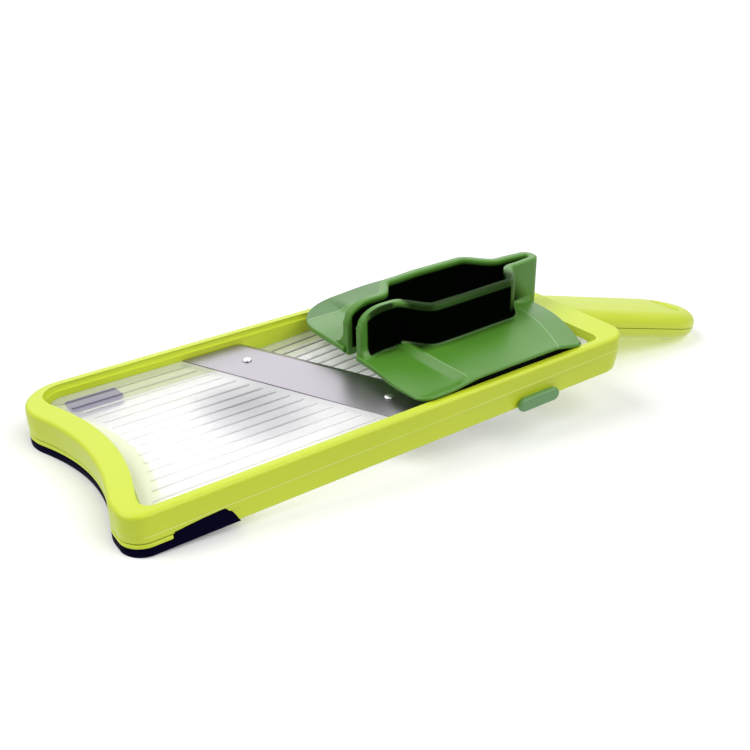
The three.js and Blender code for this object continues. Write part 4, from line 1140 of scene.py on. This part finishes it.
FLOOR_SIDE = 12.0
FLOOR_LIFT = 0.12
NEAR_GLOW = 0.84
FAR_GLOW = 0.05
GLOW_BOX = (0.16, 0.05)
GLOW_REACH = (0.05, 0.13)
SKY_LOW = 0.36
SKY_SHEEN = 1.6
SKY_POWER = 9.0
SKY_TOWARDS = Vector((0.35, 0.80, 0.48)).normalized()


def add_floor():
    """A wide pale sheet. The camera sees it lit, and white outside the shadow; as light on the
    object it is a glow that is strong close to the object and weak further out."""
    mesh = bpy.data.meshes.new("floor")
    r = FLOOR_SIDE / 2
    mesh.from_pydata([(-r, -r, 0), (r, -r, 0), (r, r, 0), (-r, r, 0)], [], [(0, 1, 2, 3)])
    floor = bpy.data.objects.new("floor", mesh)
    bpy.context.scene.collection.objects.link(floor)
    made = Material("floor_sheet", Roughness=0.9, Base_Color=(0.92, 0.92, 0.93, 1))
    made.shader.inputs["Specular IOR Level"].default_value = 0.1
    white = {"Color": (1, 1, 1, 1)}
    lift = made.add("ShaderNodeEmission", {}, {**white, "Strength": FLOOR_LIFT})
    lit = made.add("ShaderNodeAddShader", {}, {0: Value(made, made.shader.outputs[0]), 1: lift})
    x, y, z = made.split(made.place)
    beside = (x.size() - GLOW_BOX[0]).most(y.size() - GLOW_BOX[1]).eased(*GLOW_REACH)
    strength = (beside * (FAR_GLOW - NEAR_GLOW) + NEAR_GLOW).most(made.seen_by("Glossy") * 0.9)
    glow = made.add("ShaderNodeEmission", {}, {**white, "Strength": strength})
    seen = made.seen_by("Camera", "Transmission")
    total = made.add("ShaderNodeMixShader", {}, {0: seen, 1: glow, 2: lit})
    made.tree.links.new(total.socket, made.found("OUTPUT_MATERIAL").inputs["Surface"])
    mesh.materials.append(made.material)


def add_world():
    """White to the camera; as light, a sky that is bright high up behind the object, and dim low
    down before it."""
    world = bpy.data.worlds.new("studio")
    bpy.context.scene.world = world
    world.use_nodes = True
    made = Nodes(world.node_tree)
    background = made.found("BACKGROUND")
    background.inputs["Color"].default_value = (1, 1, 1, 1)
    direction = made.add("ShaderNodeTexCoord", {}, {}, "Generated")
    product = {"operation": "DOT_PRODUCT"}
    facing = made.add("ShaderNodeVectorMath", product, {0: direction, 1: SKY_TOWARDS}, 1)
    sheen = (facing * 0.5 + 0.5) ** SKY_POWER * made.seen_by("Glossy") * SKY_SHEEN
    sky = sheen + SKY_LOW
    strength = sky + made.seen_by("Camera") * (1.0 - sky)
    made.tree.links.new(strength.socket, background.inputs["Strength"])


def add_sun(name, towards, power, angle):
    """A far soft lamp."""
    data = bpy.data.lights.new(name, "SUN")
    data.energy, data.angle = power, math.radians(angle)
    lamp = bpy.data.objects.new(name, data)
    bpy.context.scene.collection.objects.link(lamp)
    lamp.rotation_euler = Vector(towards).to_track_quat("Z", "Y").to_euler()


add_camera()
add_floor()
add_world()
add_sun("key", (-0.60, 0.30, 0.74), 1.5, 40)
add_sun("fill", (0.30, -0.55, 0.78), 1.6, 60)
bpy.context.scene.view_settings.view_transform = "Standard"
